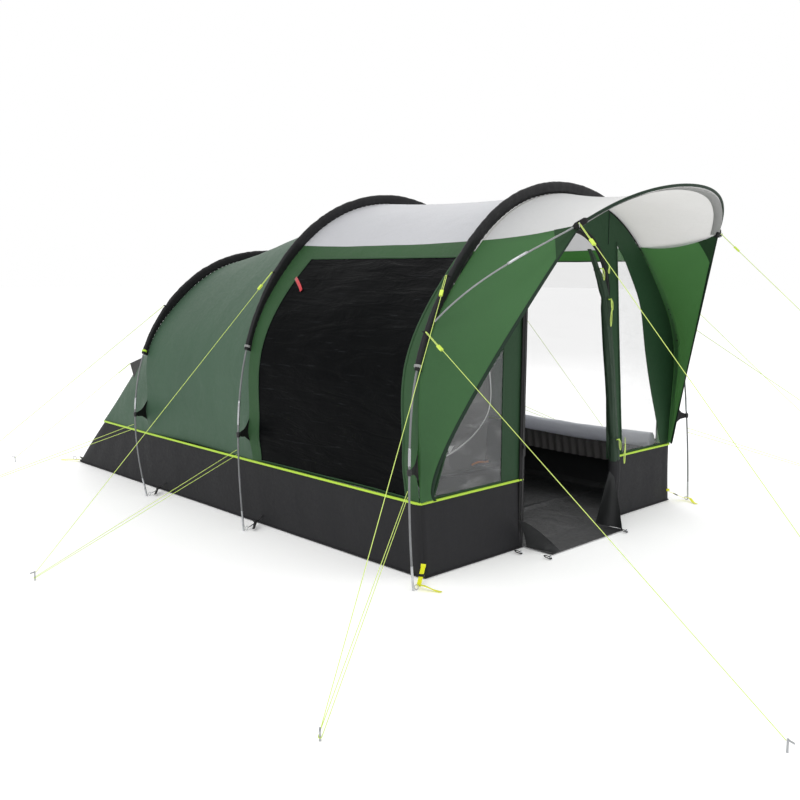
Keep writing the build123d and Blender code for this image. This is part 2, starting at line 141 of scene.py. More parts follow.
area_light("key", (-5.5, -3.5, 6.5), (0, 0, 0.8), 4.0, 150)
area_light("back", (4.5, 3.5, 6.0), (0, 0.3, 1.0), 4.0, 130)
area_light("front", (3.0, -6.0, 3.5), (0, -1.0, 0.9), 3.0, 40)

world = bpy.data.worlds.new("studio")
world.use_nodes = True
world.node_tree.nodes["Background"].inputs["Color"].default_value = (1, 1, 1, 1)
world.node_tree.nodes["Background"].inputs["Strength"].default_value = 1.0
scene.world = world


# ---- materials --------------------------------------------------------------------------------
def rgb(r, g, b):
    """Linear colour from the usual 0 to 255 numbers."""
    return tuple(c / 3294.6 if c <= 10 else ((c / 255 + 0.055) / 1.055) ** 2.4 for c in (r, g, b))


def tinted(colour, k):
    return (*(min(1.0, c * k) for c in colour), 1)


class Finish:
    """A node material under construction."""

    def __init__(self, name):
        self.material = bpy.data.materials.new(name)
        self.material.use_nodes = True
        self.tree = self.material.node_tree
        self.tree.nodes.clear()
        self.out = self.tree.nodes.new("ShaderNodeOutputMaterial")
        place = self.add("TexCoord").outputs
        self.place, self.cut = place["Object"], place["UV"]

    def add(self, kind, values=(), **settings):
        node = self.tree.nodes.new("ShaderNode" + kind)
        for key, value in settings.items():
            setattr(node, key, value)
        for key, value in dict(values).items():
            self.give(node.inputs[key], value)
        return node

    def give(self, socket, value):
        if isinstance(value, bpy.types.NodeSocket):
            self.tree.links.new(value, socket)
        else:
            socket.default_value = value

    def done(self, shader):
        self.tree.links.new(shader, self.out.inputs["Surface"])
        return self.material

    def mix(self, factor, a, b):
        node = self.add("Mix", data_type="RGBA")
        for key, value, kind in (("Factor", factor, "VALUE"), ("A", a, "RGBA"), ("B", b, "RGBA")):
            self.give(next(s for s in node.inputs if s.name == key and s.type == kind), value)
        return next(s for s in node.outputs if s.type == "RGBA")

    def between(self, value, low, high, to_low, to_high):
        """The value's place between low and high, as a number between to_low and to_high."""
        limits = {"From Min": low, "From Max": high, "To Min": to_low, "To Max": to_high}
        return self.add("MapRange", {"Value": value, **limits}).outputs["Result"]

    def noise(self, vector, **settings):
        return self.add("TexNoise", {"Vector": vector, **settings}).outputs["Fac"]

    def stretched(self, scale, turn=0.0):
        """The object's own coordinates, turned about X and scaled."""
        values = {"Vector": self.place, "Rotation": (turn, 0.0, 0.0), "Scale": scale}
        return self.add("Mapping", values).outputs["Vector"]

    def bump(self, height, strength, distance, under=None):
        values = {"Height": height, "Strength": strength, "Distance": distance}
        if under is not None:
            values["Normal"] = under
        return self.add("Bump", values).outputs["Normal"]

    def skin(self, values):
        return self.add("BsdfPrincipled", values).outputs["BSDF"]


def woven(name, colour, rough=0.55, lets_through=0.0, glow=None, weave=330, ripstop=0.0, crumple=1.0,
          sheen=0.25, spread=0.07, streak=0.0, specular=0.3):
    """A coated tent fabric: fine weave, optional ripstop squares, soft creases, and uneven colour."""
    f = Finish(name)
    wide = f.between(f.noise(f.place, Scale=1.4, Detail=3.0, Roughness=0.55), 0.3, 0.7, 0, 1)
    fine = f.noise(f.place, Scale=55.0, Detail=4.0)
    thread = {"Vector": f.cut, "Scale": weave, "Distortion": 0.4}
    warp, weft = (f.add("TexWave", thread, bands_direction=way).outputs["Fac"] for way in "XY")
    threads = f.add("Math", {0: warp, 1: weft}, operation="MULTIPLY").outputs[0]
    shade = f.mix(wide, tinted(colour, 1 - spread), tinted(colour, 1 + spread))
    shade = f.mix(f.between(threads, 0, 1, 0.14, 0), shade, tinted(colour, 0.6))
    shade = f.mix(f.between(fine, 0.35, 0.7, 0, 0.16), shade, tinted(colour, 1.25))
    if ripstop:
        squares = {"Vector": f.cut, "Scale": 1.0, "Brick Width": ripstop, "Row Height": ripstop}
        line = f.add("TexBrick", {**squares, "Mortar Size": 0.00045, "Mortar Smooth": 0.4}, offset=0.0)
        shade = f.mix(f.between(line.outputs["Fac"], 0, 1, 0, 0.16), shade, tinted(colour, 0.7))
    creases = f.noise(f.place, Scale=7.0, Detail=5.0, Roughness=0.5, Distortion=0.6)
    normal = f.bump(threads, 0.12, 0.0004, f.bump(creases, 0.16 * crumple, 0.03))
    if streak:
        lines = f.noise(f.stretched((1.0, 0.35, 2.4)), Scale=5.0, Detail=4.0, Distortion=1.0)
        shade = f.mix(f.between(lines, 0.45, 0.75, 0, streak), shade, tinted(colour, 1.5))
    shader = f.skin({
        "Base Color": shade, "Roughness": f.between(fine, 0.3, 0.7, rough - 0.05, rough + 0.07),
        "Normal": normal, "Sheen Weight": sheen, "Sheen Roughness": 0.4, "Specular IOR Level": specular})
    if lets_through:
        behind = f.mix(wide, tinted(glow or colour, 0.96), tinted(glow or colour, 1.04))
        light = f.add("BsdfTranslucent", {"Color": behind, "Normal": normal}).outputs["BSDF"]
        shader = f.add("MixShader", {0: lets_through, 1: shader, 2: light}).outputs["Shader"]
    return f.done(shader)


def film(name, colour, clear, rough=0.12, wrinkle=1.0, specular=0.4, streak=None):
    """Window film: wrinkled, glossy, and see-through by the share given as clear; its colour carries a
    painted highlight along the wrinkles, and streak gives the colour of painted highlight streaks.
    """
    f = Finish(name)
    drawn = f.stretched((1.0, 0.55, 3.2), 0.5)
    lines = f.noise(drawn, Scale=6.0, Detail=6.0, Roughness=0.6, Distortion=0.8)
    fine = f.noise(f.place, Scale=30.0, Detail=3.0)
    # painted highlight: the film's colour is made up to 1.6 times lighter along the wrinkle lines
    film_colour_painted_highlights = f.mix(f.between(lines, 0.55, 0.8, 0, 0.5), tinted(colour, 1.0), tinted(colour, 1.6))
    normal = f.bump(fine, 0.15 * wrinkle, 0.003, f.bump(lines, 0.35 * wrinkle, 0.02))
    if streak:
        # painted highlight streaks: thin stretched lines mixed towards the streak colour
        streak_coordinates = f.stretched((1.0, 0.22, 4.2), 0.25)
        painted_highlight_streaks = f.noise(streak_coordinates, Scale=16.0, Detail=7.0, Roughness=0.72, Distortion=0.5)
        film_colour_painted_highlights = f.mix(f.between(painted_highlight_streaks, 0.60, 0.76, 0, 0.5), film_colour_painted_highlights, (*streak, 1))
    values = {"Base Color": film_colour_painted_highlights, "Roughness": rough, "Normal": normal, "Specular IOR Level": specular}
    if clear:
        values["Alpha"] = f.between(lines, 0.5, 0.85, 1 - clear, 1 - clear + 0.25 * wrinkle)
    return f.done(f.skin(values))


def hard(name, colour, metal=0.0, rough=0.4, wear=0.15, coat=0.0):
    """Metal or moulded plastic with brushed grain and rubbed patches."""
    f = Finish(name)
    patches = f.noise(f.place, Scale=9.0, Detail=6.0, Roughness=0.65)
    lines = f.noise(f.stretched((1.0, 1.0, 0.06)), Scale=400.0, Detail=2.0)
    rubbed = f.between(patches, 0.45, 0.7, 0, 1)
    return f.done(f.skin({
        "Base Color": f.mix(rubbed, tinted(colour, 1 - wear), tinted(colour, 1 + wear)),
        "Metallic": metal, "Coat Weight": coat, "Normal": f.bump(lines, 0.12, 0.0006),
        "Roughness": f.between(patches, 0.3, 0.7, rough - 0.08, rough + 0.12)}))


GREEN = rgb(62, 87, 69)
FRONT_GREEN = rgb(43, 70, 47)
LIME = rgb(176, 212, 62)
FINISHES = {
    "fly_green": woven(
        "fly_green_cloth", GREEN, rough=0.5, sheen=0.02, ripstop=0.006, streak=0.06, specular=0.16),
    "side_green": woven(
        "side_green_cloth", rgb(56, 85, 58), rough=0.5, lets_through=0.25, glow=rgb(80, 150, 66),
        sheen=0.02, ripstop=0.006, streak=0.06, specular=0.16),
    "gusset_green": woven("gusset_green_cloth", rgb(38, 64, 40), rough=0.6, sheen=0.02, specular=0.16),
    "wing_green": woven(
        "wing_green_cloth", rgb(70, 108, 71), rough=0.55, lets_through=0.38, glow=rgb(70, 120, 60),
        sheen=0.04, ripstop=0.006, specular=0.2),
    "front_green": woven(
        "front_green_cloth", FRONT_GREEN, rough=0.6, lets_through=0.2, glow=rgb(42, 84, 56), sheen=0.02,
        ripstop=0.006, specular=0.2),
    "roof_grey": woven(
        "roof_cloth", rgb(209, 210, 215), rough=0.55, lets_through=0.35, glow=rgb(240, 240, 240),
        ripstop=0.006, sheen=0.1, spread=0.03),
    "hood_grey": woven(
        "hood_cloth", rgb(206, 207, 211), rough=0.6, lets_through=0.45, glow=rgb(230, 228, 222),
        ripstop=0.006, sheen=0.1, spread=0.02),
    "mud_grey": woven(
        "mud_cloth", rgb(39, 39, 41), rough=0.6, weave=250, crumple=1.0, sheen=0.0, specular=0.12),
    "groundsheet": woven(
        "groundsheet_cloth", rgb(30, 31, 32), rough=0.42, weave=160, crumple=2.0, sheen=0.0,
        specular=0.3),
    "flap_black": woven(
        "flap_cloth", rgb(40, 41, 42), rough=0.5, weave=120, crumple=1.5, sheen=0.03, specular=0.25),
    "sleeve_black": woven(
        "sleeve_cloth", rgb(24, 24, 26), rough=0.55, weave=200, crumple=1.6, sheen=0.04, specular=0.25),
    "hood_sleeve": woven(
        "hood_sleeve_cloth", rgb(27, 45, 33), rough=0.6, crumple=1.0, sheen=0.02, specular=0.2),
    "rim_grey": woven(
        "rim_cloth", rgb(169, 170, 169), rough=0.6, lets_through=0.4, glow=rgb(200, 200, 198)),
    "door_roll": woven("door_roll_cloth", rgb(34, 54, 38), rough=0.6, crumple=2.0, sheen=0.03),
    "blind_grey": woven(
        "blind_cloth", rgb(226, 228, 236), rough=0.6, lets_through=0.35, glow=rgb(235, 236, 242),
        crumple=1.6, sheen=0.1),
    "inner_dark": woven("inner_cloth", rgb(92, 90, 90), rough=0.7, crumple=1.5, sheen=0.03),
    "inner_pale": woven("inner_pale_cloth", rgb(240, 240, 240), rough=0.6, sheen=0.1),
    "strap_yellow": woven(
        "strap_yellow_cloth", rgb(226, 228, 36), rough=0.5, weave=500, crumple=0.3, sheen=0.1),
    "webbing_black": woven(
        "webbing_black_cloth", rgb(17, 17, 18), rough=0.6, weave=500, crumple=0.3, sheen=0.03,
        specular=0.25),
    "piping_lime": woven("piping_cloth", LIME, rough=0.45, weave=500, crumple=0.3, sheen=0.1),
    "guy_lime": woven("guy_cord_cloth", rgb(200, 222, 116), rough=0.6, weave=900, crumple=0.2, sheen=0.1),
    "strap_red": woven("strap_red_cloth", rgb(190, 60, 66), rough=0.55, weave=500, crumple=0.3),
    "strap_orange": woven("strap_orange_cloth", rgb(225, 130, 60), rough=0.55, weave=500, crumple=0.3),
    # painted shade: the left side window is an opaque near-black sheet standing in for the shaded inside
    # seen through clear film, with painted highlight streaks in rgb(60, 63, 66)
    "side_pane_painted_shade": film(
        "side_film_painted_shade", rgb(6, 7, 8), 0.0, rough=0.3, wrinkle=1.4, specular=0.025,
        streak=rgb(60, 63, 66)),
    "side_film": film("side_clear_film", rgb(34, 36, 38), 0.82, rough=0.1, wrinkle=0.12, specular=0.2),
    "front_film": film("front_clear_film", rgb(214, 216, 218), 0.86, rough=0.1, wrinkle=0.55),
    "pole_grey": hard("pole_glass_fibre", rgb(112, 114, 116), rough=0.38, coat=0.3),
    "hood_pole": hard("hood_pole_glass_fibre", rgb(132, 134, 136), rough=0.38, coat=0.3),
    "steel": hard("zinc_steel", rgb(190, 192, 195), metal=0.85, rough=0.32, wear=0.25),
    "slider_black": hard("slider_plastic", rgb(26, 26, 27), rough=0.4),
    "toggle_lime": hard("toggle_plastic", LIME, rough=0.45, wear=0.08),
    "buckle_black": hard("buckle_black_plastic", rgb(24, 24, 26), rough=0.4),
    "runner_lime": hard("runner_plastic", rgb(206, 232, 84), rough=0.45, wear=0.08),
}

# ---- building helpers -------------------------------------------------------------------------
def piece(name, verts, faces, finish, uvs, body="tent"):
    """A smooth mesh with its finish, its cut as UVs, and the body that it rides on."""
    mesh = bpy.data.meshes.new(name)
    mesh.from_pydata([tuple(v) for v in verts], [], [tuple(int(i) for i in f) for f in faces])
    corner = np.zeros(len(mesh.loops), int)
    mesh.loops.foreach_get("vertex_index", corner)
    mesh.uv_layers.new(name="cut").data.foreach_set("uv", np.asarray(uvs, float)[corner].ravel())
    mesh.polygons.foreach_set("use_smooth", [True] * len(mesh.polygons))
    mesh.materials.append(FINISHES[finish])
    made = bpy.data.objects.new(name, mesh)
    scene.collection.objects.link(made)
    if body:
        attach(made, body)
    return made


def unit(v):
    v = np.asarray(v, float)
    return v / np.maximum(np.linalg.norm(v, axis=-1, keepdims=True), 1e-9)


def bumpy(points, scale, seed=0.0):
    """Smooth noise between about -1 and 1 at each point; scale is per metre along x, y and z."""
    scaled = np.asarray(points) * np.asarray(scale)
    return np.array(
        [noise.noise(Vector((x + seed, y - seed, z + 2 * seed))) for x, y, z in scaled.tolist()])


def grid_faces(rows, columns, closed=False):
    """Quads over a grid of points that are numbered row by row."""
    index = np.arange(rows * columns).reshape(rows, columns)
    if closed:
        index = np.concatenate([index, index[:, :1]], axis=1)
    return np.stack(
        [index[:-1, :-1], index[1:, :-1], index[1:, 1:], index[:-1, 1:]], -1).reshape(-1, 4).tolist()


def lengths(points):
    """The distance walked along the points, up to each of them."""
    return np.concatenate([[0], np.cumsum(np.linalg.norm(np.diff(points, axis=0), axis=1))])


class Line:
    """A smooth line through points, walked by the share of its length."""

    def __init__(self, points, smooth=True):
        points = np.array(points, float)
        if smooth and len(points) > 2:
            points = self.through(points)
        self.points = points
        self.along = lengths(points)
        self.length = self.along[-1]

    @staticmethod
    def through(points):
        n = len(points)
        t = lengths(points)
        h = np.diff(t)
        system, right = np.eye(n), np.zeros((n, 3))
        for i in range(1, n - 1):
            system[i, i - 1:i + 2] = h[i - 1], 2 * (h[i - 1] + h[i]), h[i]
            right[i] = 6 * ((points[i + 1] - points[i]) / h[i] - (points[i] - points[i - 1]) / h[i - 1])
        bend = np.linalg.solve(system, right)
        made = []
        for i in range(n - 1):
            s = np.linspace(0, h[i], 40, endpoint=False)[:, None]
            r = h[i] - s
            made.append((bend[i] * r ** 3 + bend[i + 1] * s ** 3) / (6 * h[i])
                        + (points[i] / h[i] - bend[i] * h[i] / 6) * r
                        + (points[i + 1] / h[i] - bend[i + 1] * h[i] / 6) * s)
        return np.concatenate([*made, points[-1:]])

    def at(self, share):
        reach = np.asarray(share, float) * self.length
        return np.stack([np.interp(reach, self.along, self.points[:, k]) for k in range(3)], -1)

    def rise(self, z):
        """The share at which the line's first half reaches the height z."""
        half = len(self.points) // 2
        return float(np.interp(z, self.points[:half, 2], self.along[:half])) / self.length

    def part(self, start, end, step=0.02):
        count = max(2, int(abs(end - start) * self.length / step))
        return self.at(np.linspace(start, end, count))


def mirrored(points):
    return np.asarray(points, float) * (-1, 1, 1)


def pole_back(hoop, z):
    """How far behind the front wall a leaning pole is at the height z."""
    return HOOPS[hoop]["foot"] + HOOPS[hoop]["lean"] * z


def hoop_line(hoop, kind):
    """A whole hoop, from its left foot over the crown to its right foot."""
    data = HOOPS[hoop]
    half = []
    for i, (x, z) in enumerate(data[kind]):
        back = data["seam"][i] if kind == "cloth" and i < len(data["seam"]) else pole_back(hoop, z)
        half.append(spot(-x, back, z))
    return Line([*half, *[mirrored(p) for p in reversed(half[:-1])]])


POLE = {hoop: hoop_line(hoop, "pole") for hoop in HOOPS}
CLOTH = {hoop: hoop_line(hoop, "cloth") for hoop in HOOPS}


def share_grid(rows, columns):
    """Two grids of numbers from 0 to 1, down the rows and along the columns."""
    return np.meshgrid(np.linspace(0, 1, rows), np.linspace(0, 1, columns), indexing="ij")


def circle(radius, count=12, squash=1.0):
    a = np.linspace(0, 2 * math.pi, count, endpoint=False)
    return np.stack([radius * np.cos(a), radius * squash * np.sin(a)], -1)


def band(width, thick):
    """A webbing's cross-section, with its edges rounded."""
    w, t = width / 2, thick / 2
    e = min(w * 0.3, t)
    return np.array(
        [(-w, 0), (-w + e, t), (0, t), (w - e, t), (w, 0), (w - e, -t), (0, -t), (-w + e, -t)])


def swept(name, path, section, finish, up=(0, 0, 1), caps=True, scale=None):
    """A section carried along a path; up says where the section's second axis points."""
    path = np.asarray(path, float)
    run = unit(np.gradient(path, axis=0))
    up = np.broadcast_to(np.asarray(up, float), path.shape)
    side = unit(np.cross(run, up))
    top = np.cross(side, run)
    size = np.ones(len(path)) if scale is None else np.asarray(scale)
    rings = path[:, None] + (
        side[:, None] * section[None, :, :1] + top[:, None] * section[None, :, 1:]) * size[:, None, None]
    return lofted(name, rings, finish, caps)


def lofted(name, rings, finish, caps=True):
    """A skin over rings of points."""
    rings = np.asarray(rings, float)
    rows, columns = rings.shape[:2]
    faces = grid_faces(rows, columns, closed=True)
    if caps:
        faces += [list(range(columns)), [(rows - 1) * columns + i for i in reversed(range(columns))]]
    along = lengths(rings.mean(axis=1))
    girth = np.linalg.norm(rings[0] - np.roll(rings[0], -1, axis=0), axis=1).sum()
    uvs = np.stack(np.meshgrid(along, np.linspace(0, girth, columns), indexing="ij"), -1).reshape(-1, 2)
    return piece(name, rings.reshape(-1, 3), faces, finish, uvs)


def joined(name, parts):
    """Several pieces of one finish made into one."""
    base = parts[0]
    verts, faces, uvs = [], [], []
    for made in parts:
        mesh = made.data
        faces += [[len(verts) + v for v in p.vertices] for p in mesh.polygons]
        layer = mesh.uv_layers[0].data
        uv = np.zeros((len(mesh.vertices), 2))
        for loop in mesh.loops:
            uv[loop.vertex_index] = layer[loop.index].uv
        uvs.append(uv)
        verts += [tuple(v.co) for v in mesh.vertices]
    finish = next(k for k, m in FINISHES.items() if m == base.data.materials[0])
    for made in parts:
        bpy.data.objects.remove(made)
    return piece(name, verts, faces, finish, np.concatenate(uvs))


def sheet_grid(name, points, finish, body="tent"):
    """A cloth panel from a grid of points, with its cut's measure as its UVs."""
    rows, columns = points.shape[:2]
    u = np.linalg.norm(np.diff(points, axis=0), axis=2).mean(axis=1)
    v = np.linalg.norm(np.diff(points, axis=1), axis=2).mean(axis=0)
    u, v = (np.concatenate([[0], np.cumsum(steps)]) for steps in (u, v))
    uvs = np.stack(np.meshgrid(u, v, indexing="ij"), -1)
    return piece(name, points.reshape(-1, 3), grid_faces(rows, columns), finish, uvs.reshape(-1, 2), body)


def inside(points, loop):
    """Which points lie inside a closed flat outline."""
    x, y = points[:, :1], points[:, 1:2]
    (x0, y0), (x1, y1) = loop.T, np.roll(loop, -1, axis=0).T
    crossed = ((y0 > y) != (y1 > y)) & (x < (x1 - x0) * (y - y0) / (y1 - y0 + 1e-12) + x0)
    return crossed.sum(axis=1) % 2 == 1


def fine_loop(loop, step):
    """A closed outline with points about a step apart."""
    loop = np.asarray(loop, float)
    made = []
    for a, b in zip(loop, np.roll(loop, -1, axis=0)):
        count = max(1, round(float(np.linalg.norm(b - a)) / step))
        made += [a + (b - a) * i / count for i in range(count)]
    return np.array(made)


def filled(outline, holes=(), step=0.025):
    """Points and triangles that fill a flat outline and leave its holes open."""
    loops = [fine_loop(loop, step) for loop in (outline, *holes)]
    points, edges = [], []
    for loop in loops:
        first = len(points)
        points += loop.tolist()
        edges += [(first + i, first + (i + 1) % len(loop)) for i in range(len(loop))]
    low, high = loops[0].min(axis=0), loops[0].max(axis=0)
    rows = np.arange(low[1] + step / 2, high[1], step * 0.87)
    columns = np.arange(low[0] + step / 4, high[0], step)
    lattice = np.array([(x + (i % 2) * step / 2, y) for i, y in enumerate(rows) for x in columns])
    wanted = inside(lattice, loops[0])
    for hole in loops[1:]:
        wanted &= ~inside(lattice, hole)
    border = np.concatenate(loops)
    lattice = lattice[wanted]
    clear = np.array([np.min(np.sum((border - p) ** 2, axis=1)) > (0.55 * step) ** 2 for p in lattice])
    points += lattice[clear].tolist()
    made = delaunay_2d_cdt([Vector(p) for p in points], edges, [], 0, 1e-7)
    flat = np.array([tuple(v) for v in made[0]])
    faces = np.array([f for f in made[2] if len(f) == 3])
    middle = flat[faces].mean(axis=1)
    good = inside(middle, loops[0])
    for hole in loops[1:]:
        good &= ~inside(middle, hole)
    return flat, faces[good]


def cloth_of(made, node=None):
    """Hides the CAD node that a piece stands for, when one is given; the piece's UVs are read but not
    used.
    """
    if node:
        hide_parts(node)
    mesh = made.data
    uv = np.zeros(len(mesh.loops) * 2)
    mesh.uv_layers[0].data.foreach_get("uv", uv)


# ---- the fly: roof, side walls, bedroom and rear slope ----------------------------------------
def drawn_in(points, amount, axis_z=0.8):
    """Moves points towards the tent's inside by an amount each."""
    inward = unit(np.stack([-points[..., 0], 0 * points[..., 0], axis_z - points[..., 2]], -1))
    return points + inward * np.asarray(amount)[..., None]


CLIPS = {"front": 0.520, "middle": 0.520, "rear": 0.500}


def tugged(points):
    """Pulls the cloth out towards each leg clip."""
    for hoop, clip in CLIPS.items():
        seam = spot(0, pole_back(hoop, clip) + 0.05, 0)[1]
        pull = np.exp(-((points[..., 2] - clip) / 0.075) ** 2 - ((points[..., 1] - seam) / 0.07) ** 2)
        far = np.clip((np.abs(points[..., 0]) - 0.9) / 0.1, 0, 1)
        points = points + np.stack(
            [np.sign(points[..., 0]) * 0.030 * pull * far, -0.010 * pull * far, 0 * pull], -1)
    return points


def creased(points, hold, seed, deep=0.006, scale=(2.2, 2.2, 1.1)):
    """Soft tension folds that fade out where hold is 0."""
    flat = points.reshape(-1, 3)
    wide = bumpy(flat, scale, seed)
    fine = bumpy(flat, np.array(scale) * 3.7, seed + 9)
    return drawn_in(
        points, ((wide * deep + fine * deep * 0.25) * hold.ravel()).reshape(points.shape[:-1]))


def tunnel(hoop_a, hoop_b, start, end, sag, seed, deep=0.006):
    """The cloth between two hoops, as a function of two shares: across, and along the outline."""
    def surface(t, s):
        t, s = np.asarray(t, float), np.asarray(s, float)
        a = CLOTH[hoop_a].at(start[0] + (end[0] - start[0]) * s)
        b = CLOTH[hoop_b].at(start[1] + (end[1] - start[1]) * s)
        points = a + (b - a) * t[..., None]
        belly = 4 * t * (1 - t)
        points = drawn_in(points, sag * belly)
        return tugged(creased(points, np.sqrt(np.clip(belly, 0, 1)), seed, deep))
    return surface


def panel(name, surface, finish, across=60, along=90):
    return sheet_grid(name, surface(*share_grid(across, along)), finish)


seam_at = {hoop: CLOTH[hoop].rise(ROOF_SEAM) for hoop in ("front", "middle")}
low_at = {hoop: CLOTH[hoop].rise(PIPING) for hoop in HOOPS}

roof_cloth = tunnel(
    "front", "middle", [seam_at["front"], seam_at["middle"]],
    [1 - seam_at["front"], 1 - seam_at["middle"]], 0.02, 3.1, 0.004)
roof = panel("roof_cloth", roof_cloth, "roof_grey")
cloth_of(roof, node="roof_panel")

bedroom_cloth = tunnel(
    "middle", "rear", [low_at["middle"], low_at["rear"]], [1 - low_at["middle"], 1 - low_at["rear"]],
    0.022, 7.7, 0.008)
bedroom = panel("bedroom_cloth", bedroom_cloth, "fly_green", 60, 180)
cloth_of(bedroom, node="bedroom_panel")

WALL_WIDE, WALL_HIGH = 1.29, (seam_at["front"] - low_at["front"]) * CLOTH["front"].length
wall_cloth = tunnel(
    "front", "middle", [low_at["front"], low_at["middle"]], [seam_at["front"], seam_at["middle"]], 0.016,
    1.3, 0.005)


def on_wall(back, z):
    """The wall's own measure (metres across, metres up) of a place on it."""
    t, s = 0.5, 0.5
    steps = np.linspace(0, 1, 200)
    for _ in range(8):
        line = wall_cloth(np.full(200, t), steps)
        s = float(np.interp(z, line[:, 2], steps))
        row = wall_cloth(np.array([0.0, 1.0]), np.array([s, s]))
        t = float(np.interp(back - LENGTH / 2, row[:, 1], [0, 1]))
    return t * WALL_WIDE, s * WALL_HIGH


sill_front, sill_rear, head_rear, head_front = np.array(SIDE_WINDOW)
sill = [on_wall(b, sill_front[1]) for b in np.linspace(sill_front[0], sill_rear[0], 8)]
rear_edge = [on_wall(*(sill_rear + (head_rear - sill_rear) * k)) for k in np.linspace(0, 1, 10)]
head = [on_wall(b, head_rear[1]) for b in np.linspace(head_rear[0], head_front[0], 8)]
front_edge = [on_wall(sill_front[0], z) for z in np.linspace(head_front[1], sill_front[1], 10)]
opening = np.array(sill + rear_edge[1:] + head[1:] + front_edge[1:-1])


def from_wall(flat, lift=0.0):
    """Places on the left side wall, from the wall's own measure; lift is outward."""
    points = wall_cloth(flat[:, 0] / WALL_WIDE, flat[:, 1] / WALL_HIGH)
    return drawn_in(points, np.full(len(points), -lift))


WALL_EDGE = [(0, 0), (WALL_WIDE, 0), (WALL_WIDE, WALL_HIGH), (0, WALL_HIGH)]
wall_flat, wall_faces = filled(WALL_EDGE, [opening], 0.024)
film_flat, film_faces = filled(opening, step=0.018)
for side, flip in SIDES:
    wall = piece(
        f"side_cloth_{side}", from_wall(wall_flat) * flip, wall_faces.tolist(), "side_green", wall_flat)
    cloth_of(wall, node=f"side_wall_{side}")
    pane = from_wall(film_flat)
    edge = np.array([np.min(np.linalg.norm(fine_loop(opening, 0.02) - p, axis=1)) for p in film_flat])
    hold = np.clip(edge / 0.08, 0, 1)
    folds = bumpy(pane * flip, (1.0, 2.4, 9.0), 4.0 if side == "left" else 6.0) * 0.004
    folds = folds + bumpy(pane, (3, 9, 22), 8.0) * 0.0018
    pane = drawn_in(pane, folds * hold)
    # the left pane gets the opaque painted-shade finish, the right pane the clear film
    window = piece(
        f"side_pane_{side}", pane * flip, film_faces.tolist(),
        "side_pane_painted_shade" if side == "left" else "side_film", film_flat)
    cloth_of(window)
    if side == "left":
        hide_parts("side_windows")
    rim = fine_loop(opening, 0.02)
    rim = np.concatenate([rim, rim[:1]])
    path = from_wall(rim, 0.002) * flip
    out = path - drawn_in(path, np.ones(len(path)))
    swept(f"side_window_tape_{side}", path, band(0.013, 0.002), "side_green", up=out, caps=False)

# rear slope: one cloth from the rear hoop down to the piping
crown_low = CLOTH["rear"].rise(0.985)
rear_shares = np.concatenate([
    np.linspace(low_at["rear"], crown_low, 24), np.linspace(crown_low, 1 - crown_low, 72)[1:],
    np.linspace(1 - crown_low, 1 - low_at["rear"], 24)[1:]])
rear_top = CLOTH["rear"].at(rear_shares)
corner = spot(-1.045, REAR_PIPING, PIPING)
leg_foot = rear_top[0] + (0, 0.06, 0)
rear_low = np.concatenate([
    leg_foot + (corner - leg_foot) * np.linspace(0, 1, 24)[:, None],
    corner + np.array((2.09, 0, 0)) * np.linspace(0, 1, 72)[1:, None],
    mirrored(corner + (leg_foot - corner) * np.linspace(0, 1, 24)[1:, None]),
])
down = np.linspace(0, 1, 50)[None, :, None]
slope = rear_top[:, None] * (1 - down) + rear_low[:, None] * down
belly = 4 * down[..., 0] * (1 - down[..., 0]) * np.ones(len(rear_top))[:, None]
slope = slope + np.array((0, -0.6, -0.8)) * (0.012 * belly)[..., None]
slope = tugged(creased(slope, np.sqrt(belly), 12.0, 0.007))
rear = sheet_grid("rear_cloth", slope, "fly_green")
cloth_of(rear, node="rear_panel")

# ---- pole sleeves: a pocket round the pole, sewn down to the fly ------------------------------
for hoop in HOOPS:
    start = POLE[hoop].rise(HOOPS[hoop]["sleeve"])
    shares = np.linspace(start, 1 - start, 240)
    core = POLE[hoop].at(shares)
    run = unit(np.gradient(core, axis=0))
    leaning = unit(np.array((0, HOOPS[hoop]["lean"], 1.0)))
    fore = unit(np.cross(leaning, (1.0, 0, 0)))
    out = unit(np.cross(run, fore))
    out = out * np.sign(out[:, 2:3] + 1e-9)
    sewn = CLOTH[hoop].points[::3]
    reach = np.array([max(0.010, np.min(np.linalg.norm(sewn - p, axis=1)) - 0.0015) for p in core])
    around = np.linspace(0, math.pi, 9)
    pucker = bumpy(core, (26, 26, 26), 2.0) * 0.0022 + bumpy(core, (60, 60, 60), 5.0) * 0.0012
    radius = 0.0125 + pucker
    rings = []
    for i in range(len(core)):
        ring = [
            core[i] + fore * (radius[i] * math.cos(a)) + out[i] * (radius[i] * math.sin(a))
            for a in around]
        for depth, wide in ((0.35, 0.0095), (0.7, 0.0055), (1.0, 0.0035)):
            ring.append(core[i] - fore * (wide + pucker[i] * 0.6) - out[i] * reach[i] * depth)
        for depth, wide in ((1.0, 0.0035), (0.7, 0.0055), (0.35, 0.0095)):
            ring.append(core[i] + fore * (wide + pucker[i] * 0.6) - out[i] * reach[i] * depth)
        rings.append(ring)
    sleeve = lofted(f"sleeve_cloth_{hoop}", rings, "sleeve_black")
    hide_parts(f"sleeve_{hoop}")
    for end, side, share in ((0, "left", start + 0.004), (-1, "right", 1 - start - 0.004)):
        place = [POLE[hoop].at(share) + d * run[end] for d in np.linspace(-0.006, 0.006, 3)]
        finish = "piping_lime" if hoop == "rear" else "rim_grey"
        swept(f"sleeve_end_{hoop}_{side}", place, circle(0.015, 14, 1.15), finish, up=fore)

